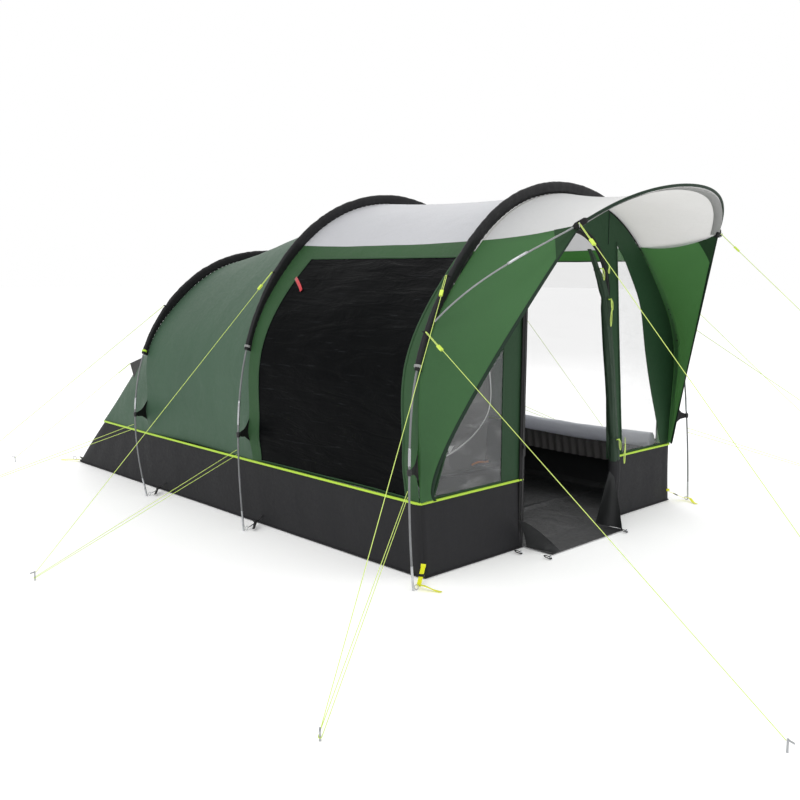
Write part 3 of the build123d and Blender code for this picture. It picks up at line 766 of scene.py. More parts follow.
# ---- hood: bent pole, edge sleeve, canopy and wings -------------------------------------------
half_hood = [spot(-x, back, z) for x, back, z in (HOOD_FOOT, HOOD_ELBOW, HOOD_CORNER, HOOD_SHOULDER)]
HOOD = Line([*half_hood, spot(*HOOD_TIP), *[mirrored(p) for p in reversed(half_hood)]])
hood_corner = HOOD.rise(HOOD_CORNER[2])
edge_line = HOOD.part(hood_corner, 1 - hood_corner, 0.012)
hood_out = unit(np.stack([edge_line[:, 0], 0 * edge_line[:, 0] - 0.9, edge_line[:, 2] - 1.2], -1))
edge_sleeve = swept("hood_edge_sleeve", edge_line, circle(0.0068, 12), "hood_sleeve", up=hood_out)
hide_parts("hood_sleeve")

across = np.linspace(0, 1, 90)
hoop_row = CLOTH["front"].at(seam_at["front"] + (1 - 2 * seam_at["front"]) * across) + (0, -0.012, 0)
rim_row = HOOD.at(hood_corner + (1 - 2 * hood_corner) * across) - (0, 0, 0.006)
reach = np.linspace(0, 1, 40)
canopy = hoop_row[:, None] * (1 - reach)[None, :, None] + rim_row[:, None] * reach[None, :, None]
canopy = canopy - np.array((0, 0, 1)) * (0.03 * 4 * reach * (1 - reach))[None, :, None]
ripple = (bumpy(canopy.reshape(-1, 3), (3, 2, 3), 5.5) * 0.004).reshape(90, 40, 1)
canopy = canopy + np.array((0, 0, 1)) * ripple * (4 * reach * (1 - reach))[None, :, None]
wall_side = drawn_in(hoop_row, np.full(90, 0.006))
wall_side[:, 1] = WALL_BACK - LENGTH / 2
hood = sheet_grid("hood_cloth", np.concatenate([wall_side[:, None], canopy], axis=1), "hood_grey")
cloth_of(hood, node="hood_canopy")
inner_rim = canopy[:, -3] + (canopy[:, -1] - canopy[:, -3]) * 0.2
rim_way = unit(canopy[:, -1] - canopy[:, -4])
lower = unit(np.cross(np.gradient(inner_rim, axis=0), rim_way))
lower = lower * -np.sign(lower[:, 2:3])
swept(
    "hood_rim_band", inner_rim[1:-1] + lower[1:-1] * 0.004, band(0.042, 0.0025), "rim_grey",
    up=lower[1:-1])


def bezier(a, b, c, count):
    """A curve from a to c that bends towards b."""
    t = np.linspace(0, 1, count)[:, None]
    return a * (1 - t) ** 2 + b * 2 * t * (1 - t) + c * t * t


wing_edge = bezier(
    spot(-1.022, -0.026, 0.366), spot(-1.130, 0.014, 0.470),
    spot(-HOOD_CORNER[0], HOOD_CORNER[1] + 0.002, HOOD_CORNER[2] - 0.006), 200)
wing_edge = Line(wing_edge, smooth=False).at(np.linspace(0, 1, 70))
wing_root = CLOTH["front"].at(
    np.linspace(CLOTH["front"].rise(0.358), seam_at["front"], 70)) + (0, -0.012, 0)
wing = wing_root[:, None] * (1 - reach)[None, :, None] + wing_edge[:, None] * reach[None, :, None]
wing_hold = (4 * reach * (1 - reach))[None, :] * np.ones(70)[:, None]
wing = drawn_in(wing, 0.012 * wing_hold, 0.9)
wing = creased(wing, wing_hold, 21.0, 0.005, (2.5, 2.5, 1.2))
wall_side = drawn_in(wing_root, np.full(70, 0.006))
wall_side[:, 1] = WALL_BACK - LENGTH / 2
wing = np.concatenate([wall_side[:, None], wing], axis=1)
for side, flip in SIDES:
    made = sheet_grid(f"wing_cloth_{side}", wing * flip, "wing_green")
    cloth_of(made, node=f"wing_{side}")
    way = unit(np.gradient(wing_edge * flip, axis=0))
    face = unit(np.cross(way, unit((wing[:, -4] - wing[:, -1]) * flip)))
    swept(f"wing_hem_{side}", wing_edge * flip, band(0.016, 0.003), "hood_sleeve", up=face)


def on_wing(row, column):
    """The wing's surface at fractional places of its grid."""
    r = np.clip(row.astype(int), 0, wing.shape[0] - 2)
    c = np.clip(column.astype(int), 0, wing.shape[1] - 2)
    dr, dc = (row - r)[..., None], (column - c)[..., None]
    return (wing[r, c] * (1 - dr) + wing[r + 1, c] * dr) * (1 - dc) + (
        wing[r, c + 1] * (1 - dr) + wing[r + 1, c + 1] * dr) * dc


back_share, down_share = share_grid(12, 12)
gusset = on_wing(
    wing.shape[0] - 1 - 9 * down_share * (1 - back_share), wing.shape[1] - 1 - 10 * back_share)
for side, flip in SIDES:
    layers = []
    for name, lift in (("out", 0.0022), ("in", -0.0022)):
        layer = drawn_in(gusset, np.full(gusset.shape[:2], -lift)) * flip
        layers.append(sheet_grid(f"gusset_{name}", layer, "gusset_green"))
    joined(f"wing_gusset_{side}", layers)

# ---- mud wall, piping, groundsheet ------------------------------------------------------------
GROUND_CORNER, PIPING_CORNER = 1.044, 1.066
ground_plan = [
    spot(x, back, 0)
    for x, back in ((DOOR["left"], 0.012), (-0.7, 0.012), (-GROUND_CORNER, 0.012), (-HALF, 0.05),
                    (-HALF, 1.3), (-HALF, 2.45), (-HALF, 3.53), (-1.03, 3.575), (0, LENGTH))]
front_knot, middle_knot, rear_knot = (
    CLOTH[hoop].at(low_at[hoop]) * (1, 1, 0) + (0, back, PIPING)
    for hoop, back in (("front", 0.02), ("middle", 0), ("rear", 0.02)))
piping_plan = [
    spot(DOOR["left"], 0.022, PIPING), spot(-0.72, 0.022, PIPING), spot(-PIPING_CORNER, 0.018, PIPING),
    front_knot, middle_knot, rear_knot,
    spot(-HALF, REAR_PIPING - 0.03, PIPING), spot(-1.03, REAR_PIPING, PIPING),
    spot(0, REAR_PIPING, PIPING)]


def matched(knots_a, knots_b):
    """Two plan lines with as many points each, leg by leg."""
    a, b = [], []
    for i in range(len(knots_a) - 1):
        count = max(3, int(np.linalg.norm(knots_b[i + 1] - knots_b[i]) / 0.028))
        t = np.linspace(0, 1, count, endpoint=False)[:, None]
        a.append(knots_a[i] + (knots_a[i + 1] - knots_a[i]) * t)
        b.append(knots_b[i] + (knots_b[i + 1] - knots_b[i]) * t)
    return np.concatenate(a), np.concatenate(b)


ground_half, piping_half = matched(ground_plan, piping_plan)
right_ground, right_piping = mirrored(ground_half[::-1]), mirrored(piping_half[::-1])
front_part = right_ground[:, 1] < spot(0, 0.02, 0)[1]
for row, corner_x in ((right_ground, GROUND_CORNER), (right_piping, PIPING_CORNER)):
    row[front_part, 0] = np.interp(
        row[front_part, 0], [-DOOR["left"], corner_x], [DOOR["right"], corner_x])
right_ground[:, 0] += 0.035 * np.exp(
    -np.linalg.norm(right_ground[:, :2] - spot(HALF, 0.02, 0)[:2], axis=1) ** 2 / 0.12 ** 2)
ground_line = np.concatenate([ground_half, [ground_plan[-1]], right_ground])
piping_line = np.concatenate([piping_half, [piping_plan[-1]], right_piping])
fall = np.linspace(0, 1, 26)
mud = piping_line[:, None] * (1 - fall)[None, :, None] + ground_line[:, None] * fall[None, :, None]
mud[..., 2] = np.clip(mud[..., 2], 0.003, None)
way = unit(np.gradient(ground_line * (1, 1, 0), axis=0))
outward = np.cross(way, (0, 0, -1.0))
outward = outward * -1 if outward[len(outward) // 4, 0] > 0 else outward
along = lengths(ground_line)
sway = np.array([noise.noise(Vector((a * 2.1, 3.0, 0))) for a in along]) * 0.012
sway = sway + np.array([noise.noise(Vector((a * 7.5, 9.0, 0))) for a in along]) * 0.004
plan_turn = np.linalg.norm(np.gradient(way, axis=0), axis=1)
spread = np.convolve(plan_turn, np.hanning(23) / np.hanning(23).sum(), mode="same")
gathered = np.array([math.sin(a * 95.0) for a in along]) * np.clip(spread * 2.2, 0, 0.6) * 0.016
rise_shape = np.sin(np.pi * (fall * 0.97)) ** 0.8
mud = mud + outward[:, None] * ((sway + gathered)[:, None] * rise_shape[None, :])[..., None]
mud_wall = sheet_grid("mud_wall_cloth", mud, "mud_grey")
cloth_of(mud_wall, node="mud_walls")
swept("piping", mud[:, 0] + outward * 0.003 + (0, 0, 0.002), circle(0.0065, 8), "piping_lime")
swept("mud_wall_hem", mud[:, -1] + outward * 0.002 + (0, 0, 0.004), circle(0.004, 6), "mud_grey")

FLOOR_HALF, FLOOR_CURL = 1.043, 0.023
floor_x, floor_y = np.meshgrid(
    np.linspace(-FLOOR_HALF, FLOOR_HALF, 110), np.linspace(-1.778, 1.78, 180), indexing="ij")
floor_flat = np.stack([floor_x, floor_y, 0 * floor_x], -1).reshape(-1, 3)
waves = bumpy(floor_flat, (2.4, 2.4, 1), 31.0).reshape(floor_x.shape)
floor_z = 0.0035 + 0.004 * np.clip(waves, 0, 1)
for across_at, high in ((-1.33, 0.014), (-0.42, 0.01), (0.55, 0.01)):
    floor_z = floor_z + high * np.exp(-((floor_y - across_at - 0.02 * np.sin(floor_x * 5)) / 0.012) ** 2)
floor_z = floor_z + 0.035 * np.clip((np.abs(floor_x) - FLOOR_HALF) / FLOOR_CURL + 1, 0, 1)
groundsheet = sheet_grid("groundsheet_cloth", np.stack([floor_x, floor_y, floor_z], -1), "groundsheet")
cloth_of(groundsheet, node="groundsheet")

# ---- front wall: door opening, windows, bindings ----------------------------------------------
arch_half = [(-x + 0.009, z - (0.01 if z > 1 else 0)) for x, z in HOOPS["front"]["cloth"][1:]]
arch_half[0] = (-PIPING_CORNER, PIPING + 0.004)
arch = Line(
    [(x, z, 0) for x, z in arch_half]
    + [(-x, z, 0) for x, z in reversed(arch_half[:-1])]).part(0, 1, 0.03)[:, :2]
middle_x, half_x = (DOOR["left"] + DOOR["right_high"]) / 2, (DOOR["right_high"] - DOOR["left"]) / 2
door_low = DOOR["right"] - (DOOR["right"] - DOOR["right_high"]) * PIPING / DOOR["shoulder"]


def over_door(a, wider=0.0):
    """The door's arch at the angle a from its right shoulder."""
    high = DOOR["top"] - DOOR["shoulder"] + wider
    return middle_x + (half_x + wider) * math.cos(a), DOOR["shoulder"] + high * math.sin(a)


door_arch = [over_door(a) for a in np.linspace(0, math.pi, 25)]
outer = Line([(x, z, 0) for x, z in WINDOW_OUTER]).part(0, 1, 0.03)[:, :2]
panes = {
    side: np.array([(low, WINDOW_OUTER[0][1]), *outer, (high, top)])
    for side, (low, high, top) in WINDOW_INNER.items()
}
panes["left"] = (panes["left"] * (-1, 1))[::-1]
wall_outline = np.array(
    [(DOOR["left"], PIPING), *[tuple(p) for p in arch], (door_low, PIPING), *door_arch])


def on_front(flat, back=WALL_BACK, seed=17.0, deep=0.003):
    """Places on the front wall, or on a sheet parallel to it, with soft folds."""
    points = np.stack([flat[:, 0], np.full(len(flat), back - LENGTH / 2), flat[:, 1]], -1)
    wide, fine = bumpy(points, (2.5, 1, 1.5), seed), bumpy(points, (9, 1, 5), seed + 3)
    points[:, 1] += wide * deep + fine * deep * 0.3
    return points


front_flat, front_faces = filled(wall_outline, [panes["right"], panes["left"]], 0.024)
front_wall = piece("front_cloth", on_front(front_flat), front_faces.tolist(), "front_green", front_flat)
cloth_of(front_wall, node="front_wall")
for side, pane in panes.items():
    pane_flat, pane_faces = filled(pane, step=0.02)
    made = piece(
        f"front_pane_{side}", on_front(pane_flat, deep=0.005), pane_faces.tolist(), "front_film",
        pane_flat)
    cloth_of(made, node="front_windows" if side == "left" else None)
    loop = fine_loop(pane, 0.02)
    loop = np.concatenate([loop, loop[:1]])
    swept(
        f"front_window_tape_{side}", on_front(loop, WALL_BACK - 0.003), band(0.012, 0.002), "front_green",
        up=(0, -1, 0), caps=False)

# black zip binding up the door's left side and over the arch
BINDING = 0.012
zip_path = [(DOOR["left"] - BINDING, z) for z in np.linspace(0.02, DOOR["shoulder"], 40)]
zip_path += [over_door(a, BINDING) for a in np.linspace(math.pi - 0.02, 0.02, 60)]
zip_path = on_front(np.array(zip_path), WALL_BACK - 0.007, deep=0.003)
swept("door_binding", zip_path, band(0.040, 0.004), "webbing_black", up=(0, -1, 0))
swept(
    "door_zip_coil", zip_path - (0, 0.003, 0) + (0.004, 0, 0), band(0.007, 0.003), "buckle_black",
    up=(0, -1, 0))
swept(
    "door_binding_edge", zip_path - (0, 0.002, 0) - (0.017, 0, 0), circle(0.0022, 6), "webbing_black",
    up=(0, -1, 0))

seam_line = on_front(np.array([(0.352, z) for z in np.linspace(1.53, 1.70, 10)]), WALL_BACK - 0.002)
swept("front_header_seam", seam_line, band(0.006, 0.002), "hood_sleeve", up=(0, -1, 0))

# rolled-back door beside the opening, its dark foot, ties and lime toggle loops
ROLL_BACK, ROLL_LOW, ROLL_HIGH = -0.014, 0.016, 1.500
ROLL_SHAPE = np.array([  # height, place across, width, depth
    (0.016, 0.412, 0.066, 0.048), (0.300, 0.430, 0.070, 0.050), (0.450, 0.415, 0.066, 0.048),
    (0.600, 0.388, 0.064, 0.046), (0.800, 0.360, 0.062, 0.046),
    (1.050, 0.317, 0.060, 0.044), (1.250, 0.281, 0.056, 0.040), (1.340, 0.240, 0.052, 0.036),
    (1.400, 0.195, 0.044, 0.030), (1.470, 0.151, 0.028, 0.022), (1.505, 0.118, 0.016, 0.014),
])
TIES = (0.470, 1.240, 1.400)


def roll_middle(z):
    """The middle of the rolled door at the height z."""
    return spot(np.interp(z, ROLL_SHAPE[:, 0], ROLL_SHAPE[:, 1]), ROLL_BACK, z)


def roll_rings(low, high, count, seed):
    """Rings round the rolled door, pinched at its ties."""
    rings = []
    for z in np.linspace(low, high, count):
        wide, deep = (np.interp(z, ROLL_SHAPE[:, 0], ROLL_SHAPE[:, k]) / 2 for k in (2, 3))
        pinch = 1 - 0.24 * sum(math.exp(-((z - t) / 0.03) ** 2) for t in TIES)
        ring = []
        for a in np.linspace(0, 2 * math.pi, 48, endpoint=False):
            lap = 0.004 * ((a / (2 * math.pi) + z * 0.35) % 1.0)
            fold = noise.noise(Vector((math.cos(a) * 2.2, math.sin(a) * 2.2, z * 2.6 + seed))) * 0.005
            fold += noise.noise(Vector((math.cos(a) * 6, math.sin(a) * 6, z * 5 + seed))) * 0.0028
            rise = lap + fold
            round_about = ((wide * pinch + rise) * math.cos(a), (deep * pinch + rise) * math.sin(a), 0)
            ring.append(roll_middle(z) + round_about)
        rings.append(ring)
    return rings


roll = lofted("door_roll_cloth", roll_rings(0.345, ROLL_HIGH, 150, 2.0), "door_roll")
foot = lofted("door_roll_foot", roll_rings(ROLL_LOW, 0.352, 50, 6.0), "mud_grey")
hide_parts("door_roll")
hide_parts("door_roll")
for i, z in enumerate(TIES):
    centre = roll_middle(z)
    a = np.linspace(0, 2 * math.pi, 30)
    girth = np.interp(z, ROLL_SHAPE[:, 0], ROLL_SHAPE[:, 2]) * 0.5 * 0.84
    loop = centre + np.stack([girth * np.cos(a), (girth - 0.004) * np.sin(a), 0.006 * np.sin(a * 2)], -1)
    swept(
        f"door_tie_{i}", loop, band(0.010, 0.002), "door_roll",
        up=np.stack([np.cos(a), np.sin(a), 0 * a], -1))
    drop = [
        (0.006, -0.030, 0.004), (0.010, -0.038, -0.01), (0.014, -0.040, -0.035), (0.010, -0.041, -0.060),
        (0.002, -0.040, -0.045), (0.002, -0.036, -0.015), (0.006, -0.031, 0.0)]
    swept(
        f"door_toggle_loop_{i}", Line([centre + d for d in drop]).part(0, 1, 0.006), circle(0.0021, 8),
        "guy_lime", up=(1, 0, 0))

# loose elastic loops hanging by the arch and along the roll
for i, (x, z, long) in enumerate(((0.250, 1.425, 0.05), (0.287, 1.245, 0.15), (0.470, 0.475, 0.15))):
    hang = [
        (x, z), (x + 0.004, z - long * 0.4), (x - 0.003, z - long * 0.8), (x + 0.004, z - long),
        (x + 0.009, z - long * 0.7), (x + 0.007, z - long * 0.25)]
    swept(
        f"hanging_loop_{i}", Line([spot(a, -0.050, b) for a, b in hang]).part(0, 1, 0.008),
        circle(0.0024, 8), "guy_lime", up=(0, 1, 0))

# threshold flap lying in front of the door, its left side curled up
flap_x, flap_b = np.meshgrid(
    np.linspace(-0.340, 0.300, 70), np.linspace(0.022, -0.173, 40), indexing="ij")
flap = np.stack([flap_x, flap_b - LENGTH / 2, np.full(flap_x.shape, 0.0045)], -1)
away = np.clip((0.022 - flap_b) / 0.195, 0, 1)
flap[..., 2] += 0.003 * away * (0.5 + bumpy(flap.reshape(-1, 3), (6, 9, 1), 14.0).reshape(flap_x.shape))
flap[..., 2] += 0.006 * np.exp(-((flap_b - 0.02) / 0.03) ** 2)
threshold = sheet_grid("threshold_cloth", flap, "flap_black", "flap")
cloth_of(threshold, node="threshold_flap")
curl_t, curl_s = share_grid(30, 30)
curl = np.stack([
    -0.338 + 0.05 * curl_s ** 1.5 * (0.4 + curl_t) - 0.075 * curl_t * (1 - curl_s),
    -LENGTH / 2 - 0.01 - 0.155 * curl_s, 0.008 + 0.155 * (1 - curl_s ** 1.6) * curl_t], -1)
curl[..., 0] += 0.012 * np.sin(curl_t * 3.0)
curl_cloth = sheet_grid("threshold_curl_cloth", curl, "flap_black", None)
cloth_of(curl_cloth)
drape_low = np.array((0.284, 0.004, 0.010)) + np.array((0.006, -0.174, 0)) * curl_t[..., None]
drape_high = np.array((0.386, -0.012, 0.290)) + np.array((0.012, -0.024, -0.030)) * curl_t[..., None]
drape = drape_high * (1 - curl_s ** 0.8)[..., None] + drape_low * (curl_s ** 0.8)[..., None]
drape[..., 0] += 0.007 * np.sin(curl_t * 8 + curl_s * 2) * curl_s
drape[..., 1] -= LENGTH / 2
drape_cloth = sheet_grid("threshold_drape_cloth", drape, "flap_black", None)
cloth_of(drape_cloth)
for made in (curl_cloth, drape_cloth):
    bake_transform(made)

# ---- inside: rolled blinds, inner tent --------------------------------------------------------
BLIND_FRONT, BLIND_REAR = 0.105, 1.238
blinds = []
for side in (-1, 1):
    rings = []
    for back in np.linspace(BLIND_FRONT, BLIND_REAR, 90):
        sag = -0.010 * math.sin(math.pi * (back - BLIND_FRONT) / (BLIND_REAR - BLIND_FRONT))
        ring = []
        for a in np.linspace(0, 2 * math.pi, 26, endpoint=False):
            fold = noise.noise(Vector((math.cos(a) * 3, math.sin(a) * 3, back * 5 + side)))
            r = 0.031 + 0.003 * ((a / (2 * math.pi) + back * 0.3) % 1.0) + 0.004 * fold
            ring.append(
                spot(side * (1.018 + r * math.cos(a)), back, 0.374 + sag + 1.38 * r * math.sin(a)))
        rings.append(ring)
    blinds.append(lofted(f"blind_{side}", rings, "blind_grey"))
blind = joined("window_blind_rolls", blinds)
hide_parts("window_blinds")
for side, name in ((-1, "left"), (1, "right")):
    back, down = share_grid(320, 12)
    back = BLIND_FRONT + (BLIND_REAR - BLIND_FRONT) * back
    pleat = 0.007 * np.sin(back * 105 + down * 2.5) * (0.4 + 0.6 * down)
    skirt = np.stack(
        [side * (1.016 + pleat), back - LENGTH / 2, 0.335 - 0.125 * down - 0.010 * np.sin(back * 2.7)],
        -1)
    cloth_of(sheet_grid(f"blind_skirt_{name}", skirt, "inner_dark"))

INNER_SCALE, INNER_FRONT, INNER_HOOP = 0.93, 1.400, 2.560


def inner_row(hoop, back, count):
    """A hoop's outline shrunk to the inner tent's size, at a distance behind the front wall."""
    low = CLOTH[hoop].rise(0.012)
    points = CLOTH[hoop].at(np.linspace(low, 1 - low, count))
    return np.stack(
        [points[:, 0] * INNER_SCALE, np.full(count, back - LENGTH / 2), points[:, 2] * INNER_SCALE], -1)


front_row, hoop_row = inner_row("middle", INNER_FRONT + 0.008, 120), inner_row("rear", INNER_HOOP, 120)
tail_row = hoop_row * (0.86, 1, 0.66) + (0, 0, 0.004)
tail_row[:, 1] = INNER_HOOP + 0.44 - 0.30 * tail_row[:, 2] - LENGTH / 2
t = np.linspace(0, 1, 40)[None, :, None]
body_cloth = np.concatenate([
    front_row[:, None] * (1 - t) + hoop_row[:, None] * t,
    (hoop_row[:, None] * (1 - t) + tail_row[:, None] * t)[:, 1:]], axis=1)
share = t[0, :, 0]
hold = np.concatenate([4 * share * (1 - share), share[1:] * 0])[None, :] * np.ones(120)[:, None]
body_cloth = creased(body_cloth, hold, 41.0, 0.012)
inner_body = sheet_grid("inner_body_cloth", body_cloth, "inner_dark")
cloth_of(inner_body, node="inner_body")

inner_outline = inner_row("middle", INNER_FRONT, 90)[:, [0, 2]]
inner_flat, inner_faces = filled(inner_outline, step=0.035)
inner_front = piece(
    "inner_front_cloth", on_front(inner_flat, INNER_FRONT, 51.0, 0.010), inner_faces.tolist(),
    "inner_dark", inner_flat)
cloth_of(inner_front, node="inner_front")
zip_points = [
    (0.20, 1.36), (0.62, 1.30), (0.90, 0.98), (0.995, 0.66), (0.985, 0.41), (0.919, 0.324),
    (0.812, 0.246), (0.692, 0.189), (0.56, 0.146), (0.30, 0.120)]
inner_zip = Line([spot(x, INNER_FRONT - 0.016, z) for x, z in zip_points]).part(0, 1, 0.02)
swept("inner_door_zip", inner_zip, band(0.012, 0.003), "inner_pale", up=(0, -1, 0))
for i, (x, z) in enumerate(((0.551, 0.216), (0.470, 1.090))):
    corners = ((0, 0), (0.080, -0.010), (0.030, -0.060))
    patch = [spot(x + dx, INNER_FRONT - 0.018, z + dz) for dx, dz in corners]
    piece(f"inner_door_patch_{i}", patch, [(0, 1, 2)], "inner_pale", [(0, 0), (0.1, 0), (0.05, 0.08)])
orange_route = ((0.80, 0.030, 0.048), (0.86, 0.034, 0.060), (0.93, 0.030, 0.052), (0.98, 0.030, 0.048))
orange = Line([spot(x, INNER_FRONT - lift, z) for x, lift, z in orange_route])
swept("inner_door_toggle", orange.part(0, 1, 0.01), band(0.016, 0.004), "strap_orange", up=(0, -1, 0))
strap = np.array([
    from_wall(np.array([on_wall(b, z)]), 0.004)[0]
    for b, z in ((1.172, 1.342), (1.14, 1.325), (1.10, 1.302), (1.065, 1.278))])
swept("side_window_strap", strap, band(0.020, 0.003), "strap_red", up=(-1, 0, 0.4))

# ---- legs: ferrules, clips, corner patches, webbing -------------------------------------------
LEG = {"front": (0.520, 0.545, 0.625), "middle": (0.520, 0.570, 0.700), "rear": (0.500, 0.530, 0.600)}


def leg_point(hoop, z, out=0.0):
    """A place on a hoop's left leg at the height z, moved out from the pole."""
    place = POLE[hoop].rise(z)
    run = unit(POLE[hoop].at(place + 0.002) - POLE[hoop].at(place))
    return POLE[hoop].at(place) + unit(np.array((-run[2], 0, run[0]))) * out


for hoop, (clip_z, low_z, high_z) in LEG.items():
    seam = {
        z: tugged(CLOTH[hoop].at(CLOTH[hoop].rise(z))) for z in (clip_z - 0.050, clip_z, clip_z + 0.075)}
    for side, flip in SIDES:
        tall = np.array([leg_point(hoop, z) for z in np.linspace(low_z, high_z, 8)]) * flip
        swept(f"ferrule_{hoop}_{side}", tall, circle(0.0064, 14), "steel", up=(0, 1, 0))
        core = leg_point(hoop, clip_z) * flip
        around = np.linspace(0, 2 * math.pi, 20)
        rings = [
            [core + np.array((r * math.cos(a), r * math.sin(a), dz)) for a in around[:-1]]
            for r, dz in ((0.008, -0.014), (0.0105, -0.011), (0.0105, 0.011), (0.008, 0.014))]
        lofted(f"leg_clip_{hoop}_{side}", rings, "buckle_black")
        tab_top, tab_mid, tab_low = (
            seam[z] * flip + (0, -0.006, 0) for z in (clip_z + 0.075, clip_z, clip_z - 0.050))
        tip = leg_point(hoop, clip_z, -0.010) * flip
        down, reach_out = share_grid(14, 12)
        spine = Line([tab_top, tab_mid, tab_low], smooth=False).at(down[:, 0])
        edge = Line([
            tab_top, (tab_top + tip) / 2 + (0, 0, -0.012), tip + (0, 0, 0.012), tip - (0, 0, 0.012),
            (tab_low + tip) / 2 + (0, 0, 0.006), tab_low], smooth=False).at(down[:, 0])
        cloth = spine[:, None] * (1 - reach_out)[..., None] + edge[:, None] * reach_out[..., None]
        cloth_of(
            sheet_grid(f"leg_patch_{hoop}_{side}", cloth, "webbing_black"))
        if hoop != "front":
            foot = POLE[hoop].at(0) * flip
            wall = np.array((flip[0] * -1.052, foot[1] + 0.030, 0.055))
            ring = np.array((foot[0] + flip[0] * 0.034, foot[1] + 0.002, 0.014))
            middle = (wall + ring) / 2
            swept(
                f"foot_webbing_{hoop}_{side}", Line([wall, middle - (0, 0, 0.006), ring]).part(0, 1, 0.01),
                band(0.018, 0.0018), "webbing_black", up=(0, 0.4, 1))
            tail = Line([
                middle + (0, 0, 0.006), middle + (flip[0] * -0.02, -0.025, 0.004),
                middle + (flip[0] * -0.055, -0.055, -0.022)])
            swept(
                f"foot_tail_{hoop}_{side}", tail.part(0, 1, 0.008), band(0.018, 0.0018), "webbing_black",
                up=(0, 0.3, 1))
            rings = [
                [middle + np.array((dx, dy, dz)) for dx, dz in ((-w, -h), (w, -h), (w, h), (-w, h))]
                for dy, w, h in (
                    (-0.012, 0.008, 0.002), (-0.008, 0.014, 0.004), (0.008, 0.014, 0.004),
                    (0.012, 0.008, 0.002))]
            lofted(f"foot_buckle_{hoop}_{side}", rings, "buckle_black")

for side, flip in SIDES:
    foot = POLE["front"].at(0)
    ring = np.array((foot[0] + 0.034, foot[1] + 0.002, 0.012))
    wall_end = np.array((-HALF - 0.013, foot[1] + 0.066, 0.062))
    patch = Line([wall_end + (0.004, 0.002, 0.014), wall_end + (0.002, 0.001, 0.006), wall_end])
    swept(
        f"yellow_tab_{side}", patch.part(0, 1, 0.003) * flip, band(0.024, 0.002), "strap_yellow",
        up=(-1, -0.5, 0.2))
    tail = Line([
        ring + (0.004, 0, 0.006), spot(-1.150, -0.095, 0.020), spot(-1.128, -0.130, 0.006),
        spot(-1.118, -0.160, 0.004)])
    swept(
        f"yellow_tail_{side}", tail.part(0, 1, 0.006) * flip, band(0.020, 0.0018), "strap_yellow",
        up=(0.1, 0.1, 1))
    corner = np.array((-1.044, LENGTH / 2 - 0.014, 0.012))
    strap = Line([corner, corner + (-0.035, 0.060, 0.0), corner + (-0.080, 0.128, -0.006)])
    swept(
        f"rear_corner_strap_{side}", strap.part(0, 1, 0.008) * flip, band(0.020, 0.002), "strap_yellow",
        up=(0, 0, 1))
    a = np.linspace(0, 2 * math.pi, 24)
    hoop_ring = (corner + (-0.02, 0.03, 0.012)) + np.stack(
        [0.012 * np.cos(a), 0.012 * np.sin(a) * 0.8, 0.010 * np.sin(a)], -1)
    swept(f"rear_corner_ring_{side}", hoop_ring * flip, circle(0.0018, 8), "steel", up=(0, 0.3, 1))

# hood corner tabs, hood pole ferrule, guy tabs and the patch that the tail line pulls on
TAIL_PATCH = [spot(-1.03, 2.62, 0.84), spot(-1.04, 2.70, 0.70), spot(-0.90, 2.76, 0.78)]
hood_knot = HOOD.at(hood_corner)
slope_points = slope.reshape(-1, 3)
for side, flip in SIDES:
    way = unit(HOOD.at(hood_corner + 0.004) - hood_knot)
    block = np.array([hood_knot + way * d for d in (-0.034, -0.022, 0.0, 0.022, 0.034)]) * flip
    swept(
        f"hood_corner_tab_{side}", block, band(0.030, 0.026), "webbing_black", up=(0, 0.3, 1),
        scale=[0.6, 1, 1, 1, 0.6])
    loop = hood_knot + np.array([(0.0, 0.0, -0.010), (-0.012, -0.006, -0.014), (-0.020, -0.012, -0.012)])
    swept(f"hood_guy_tab_{side}", loop * flip, band(0.016, 0.003), "webbing_black", up=(0, 1, 0.4))
    a = np.linspace(0, 2 * math.pi, 24)
    eye = (hood_knot + (-0.016, -0.008, -0.006)) + np.stack(
        [0.010 * np.cos(a), 0.006 * np.cos(a), 0.010 * np.sin(a)], -1)
    swept(f"hood_guy_ring_{side}", eye * flip, circle(0.0016, 8), "steel", up=(0.5, -0.8, 0.1))
    metal = HOOD.part(HOOD.rise(1.412), HOOD.rise(1.462), 0.01) * flip
    swept(f"hood_pole_ferrule_{side}", metal, circle(0.0062, 14), "steel", up=(0, 1, 0))
    for hoop, z in (("front", 1.352), ("front", 1.113), ("middle", 1.367), ("rear", 1.150)):
        tab = np.array([leg_point(hoop, z, d) for d in (0.004, 0.012, 0.0195)]) * flip
        swept(
            f"guy_tab_{hoop}_{round(z * 1000)}_{side}", tab, band(0.024, 0.004), "webbing_black",
            up=(0, 0, 1))
    tip = spot(-1.010, 2.800, 0.775)
    held_at = [slope_points[np.argmin(np.linalg.norm(slope_points - p, axis=1))] for p in TAIL_PATCH]
    piece(
        f"rear_patch_{side}", np.array([tip, *held_at]) * flip, [(0, 1, 2), (0, 2, 3), (0, 3, 1)],
        "webbing_black", [(0, 0), (0.12, 0), (0.06, 0.06), (0.05, 0.02)])

# pegs' loops at the threshold
for i, (x, back) in enumerate(((-0.40, -0.19), (0.27, -0.19), (-0.44, -0.04))):
    a = np.linspace(-0.5 * math.pi, 1.5 * math.pi, 20)
    hook = spot(x, back, 0.010) + np.stack([0.010 * np.cos(a), 0.022 * np.sin(a), 0.003 * np.sin(a)], -1)
    swept(f"threshold_peg_loop_{i}", hook, circle(0.0025, 8), "webbing_black", up=(0, 0, 1))
    pin = np.array([spot(x, back - 0.016, z) for z in (0.022, 0.012, 0.002)])
    swept(f"threshold_peg_{i}", pin, circle(0.0045, 10), "steel", up=(0, 1, 0), scale=[0.7, 1.3, 0.8])

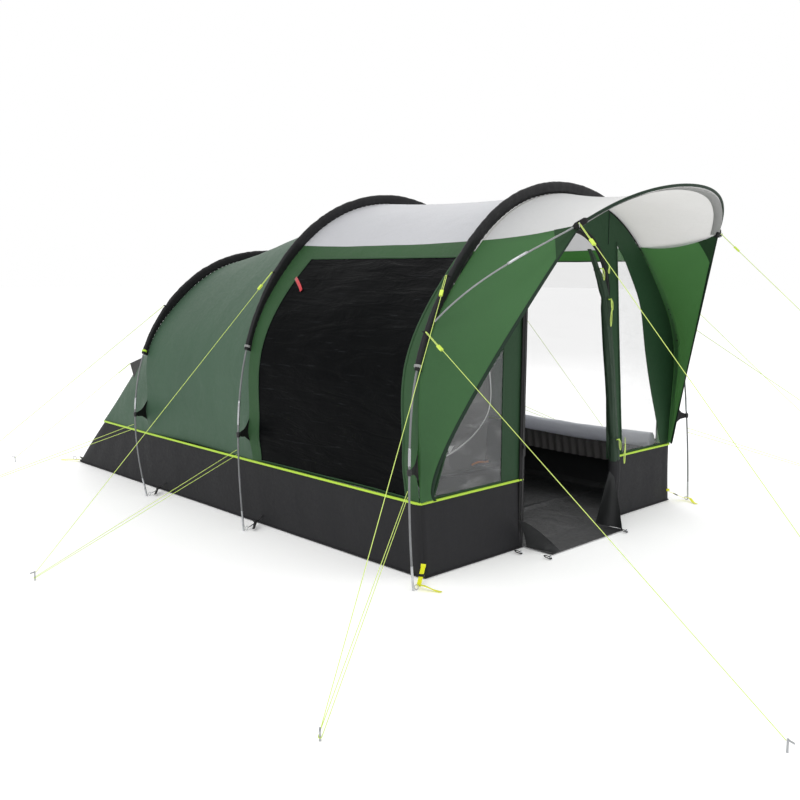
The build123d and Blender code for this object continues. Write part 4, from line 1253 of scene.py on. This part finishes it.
# ---- guy lines --------------------------------------------------------------------------------
PEGS = {
    "front": (2.290, -0.780), "door": (1.350, -1.760), "hood": (1.000, -2.060), "middle": (2.330, 1.200),
    "rear": (2.250, 2.950), "tail": (1.400, 3.850)}
GUY_RADIUS, PEG_RADIUS = 0.0015, 0.0035
UPPER_GUYS = {
    "front_upper": (leg_point("front", 1.352, 0.018), "front", 2.208),
    "front_lower": (leg_point("front", 1.113, 0.016) + (0, -0.014, 0), "door", 2.212),
    "hood": (
        spot(-HOOD_CORNER[0] - 0.014, HOOD_CORNER[1] - 0.006, HOOD_CORNER[2] + 0.002), "hood", 2.383),
    "middle_upper": (leg_point("middle", 1.367, 0.018), "middle", 2.078),
    "rear_upper": (leg_point("rear", 1.150, 0.018), "rear", 1.941),
    "tail": (spot(-1.010, 2.800, 0.775), "tail", 1.472),
}
LOW_GUYS = {
    "front_leg": ("front", "front", 2.784), "middle_leg": ("middle", "middle", 2.397),
    "rear_leg": ("rear", "rear", 2.523)}


def guy(name, points):
    """A taut guy line through its points."""
    curve = bpy.data.curves.new(name, "CURVE")
    curve.dimensions = "3D"
    curve.bevel_depth = GUY_RADIUS
    curve.bevel_resolution = 2
    curve.resolution_u = 10
    line = curve.splines.new("NURBS")
    line.points.add(len(points) - 1)
    for slot, p in zip(line.points, points):
        slot.co = (*p, 1)
    line.use_endpoint_u = True
    line.order_u = 3
    curve.materials.append(FINISHES["guy_lime"])
    made = bpy.data.objects.new(name, curve)
    scene.collection.objects.link(made)
    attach(made, "tent")
    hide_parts(name.replace("cord_", "guy_"))


for name, (tab, peg, length) in UPPER_GUYS.items():
    x, back = PEGS[peg]
    goal = spot(-x, back, 0.031)
    along = unit(goal - tab)
    across = unit(np.cross(along, (0, 0, 1.0)))
    end = goal - along * (PEG_RADIUS + GUY_RADIUS + 0.0015)
    low = tab + along * 0.130 + across * 0.0064
    points = [
        low, tab + across * 0.0064 + along * 0.018, tab + across * 0.0064, tab, tab + along * 0.018, end]
    for side, flip in SIDES:
        guy(f"cord_{name}_{side}", [p * flip for p in points])

for name, (hoop, peg, length) in LOW_GUYS.items():
    high, low = leg_point(hoop, 0.440, 0.010), leg_point(hoop, 0.414, 0.010)
    x, back = PEGS[peg]
    goal = spot(-x, back, 0.013)
    along = unit(goal - high)
    across = unit(np.cross(along, (0, 0, 1.0)))
    bend = PEG_RADIUS + GUY_RADIUS + 0.0006
    far = goal + along * bend
    points = [
        high, far + across * bend - along * 0.018, far + across * bend, far - across * bend,
        far - across * bend - along * 0.018, low]
    for side, flip in SIDES:
        guy(f"cord_{name}_{side}", [p * flip for p in points])

# ---- CAD parts that are shown as they are -----------------------------------------------------
CAD_FINISH = {
    "hoop_front": "pole_grey", "hoop_middle": "pole_grey", "hoop_rear": "pole_grey",
    "hood_pole": "hood_pole", "leg_tips": "steel", "foot_rings": "steel",
    "door_toggles": "toggle_lime", "door_slider": "slider_black", "foot_straps": "strap_yellow",
    "strap_buckle_left": "buckle_black", "strap_buckle_right": "buckle_black", "pegs": "steel",
}
for name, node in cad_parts.items():
    finish = CAD_FINISH.get(name, "runner_lime" if name.startswith("runner") else None)
    if finish:
        for material_slot in node.material_slots:
            material_slot.material = FINISHES[finish]

# ---- studio floor -----------------------------------------------------------------------------
ground = Finish("studio_floor")
patches = ground.between(ground.noise(ground.place, Scale=0.6, Detail=2.0), 0.3, 0.7, 0, 1)
floor_skin = ground.skin({
    "Base Color": ground.mix(patches, (0.955, 0.955, 0.955, 1), (0.965, 0.965, 0.965, 1)),
    "Roughness": 0.9, "Specular IOR Level": 0.1, "Emission Color": (1, 1, 1, 1),
    "Emission Strength": 0.12})
floor_rows = np.linspace(-80, 80, 33)
floor_points = [(x, y, -0.001) for x in floor_rows for y in floor_rows]
floor_mesh = bpy.data.meshes.new("studio_floor")
floor_mesh.from_pydata(floor_points, [], [tuple(f) for f in grid_faces(33, 33)])
floor_mesh.polygons.foreach_set("use_smooth", [True] * len(floor_mesh.polygons))
floor_mesh.materials.append(ground.done(floor_skin))
floor = bpy.data.objects.new("studio_floor", floor_mesh)
scene.collection.objects.link(floor)
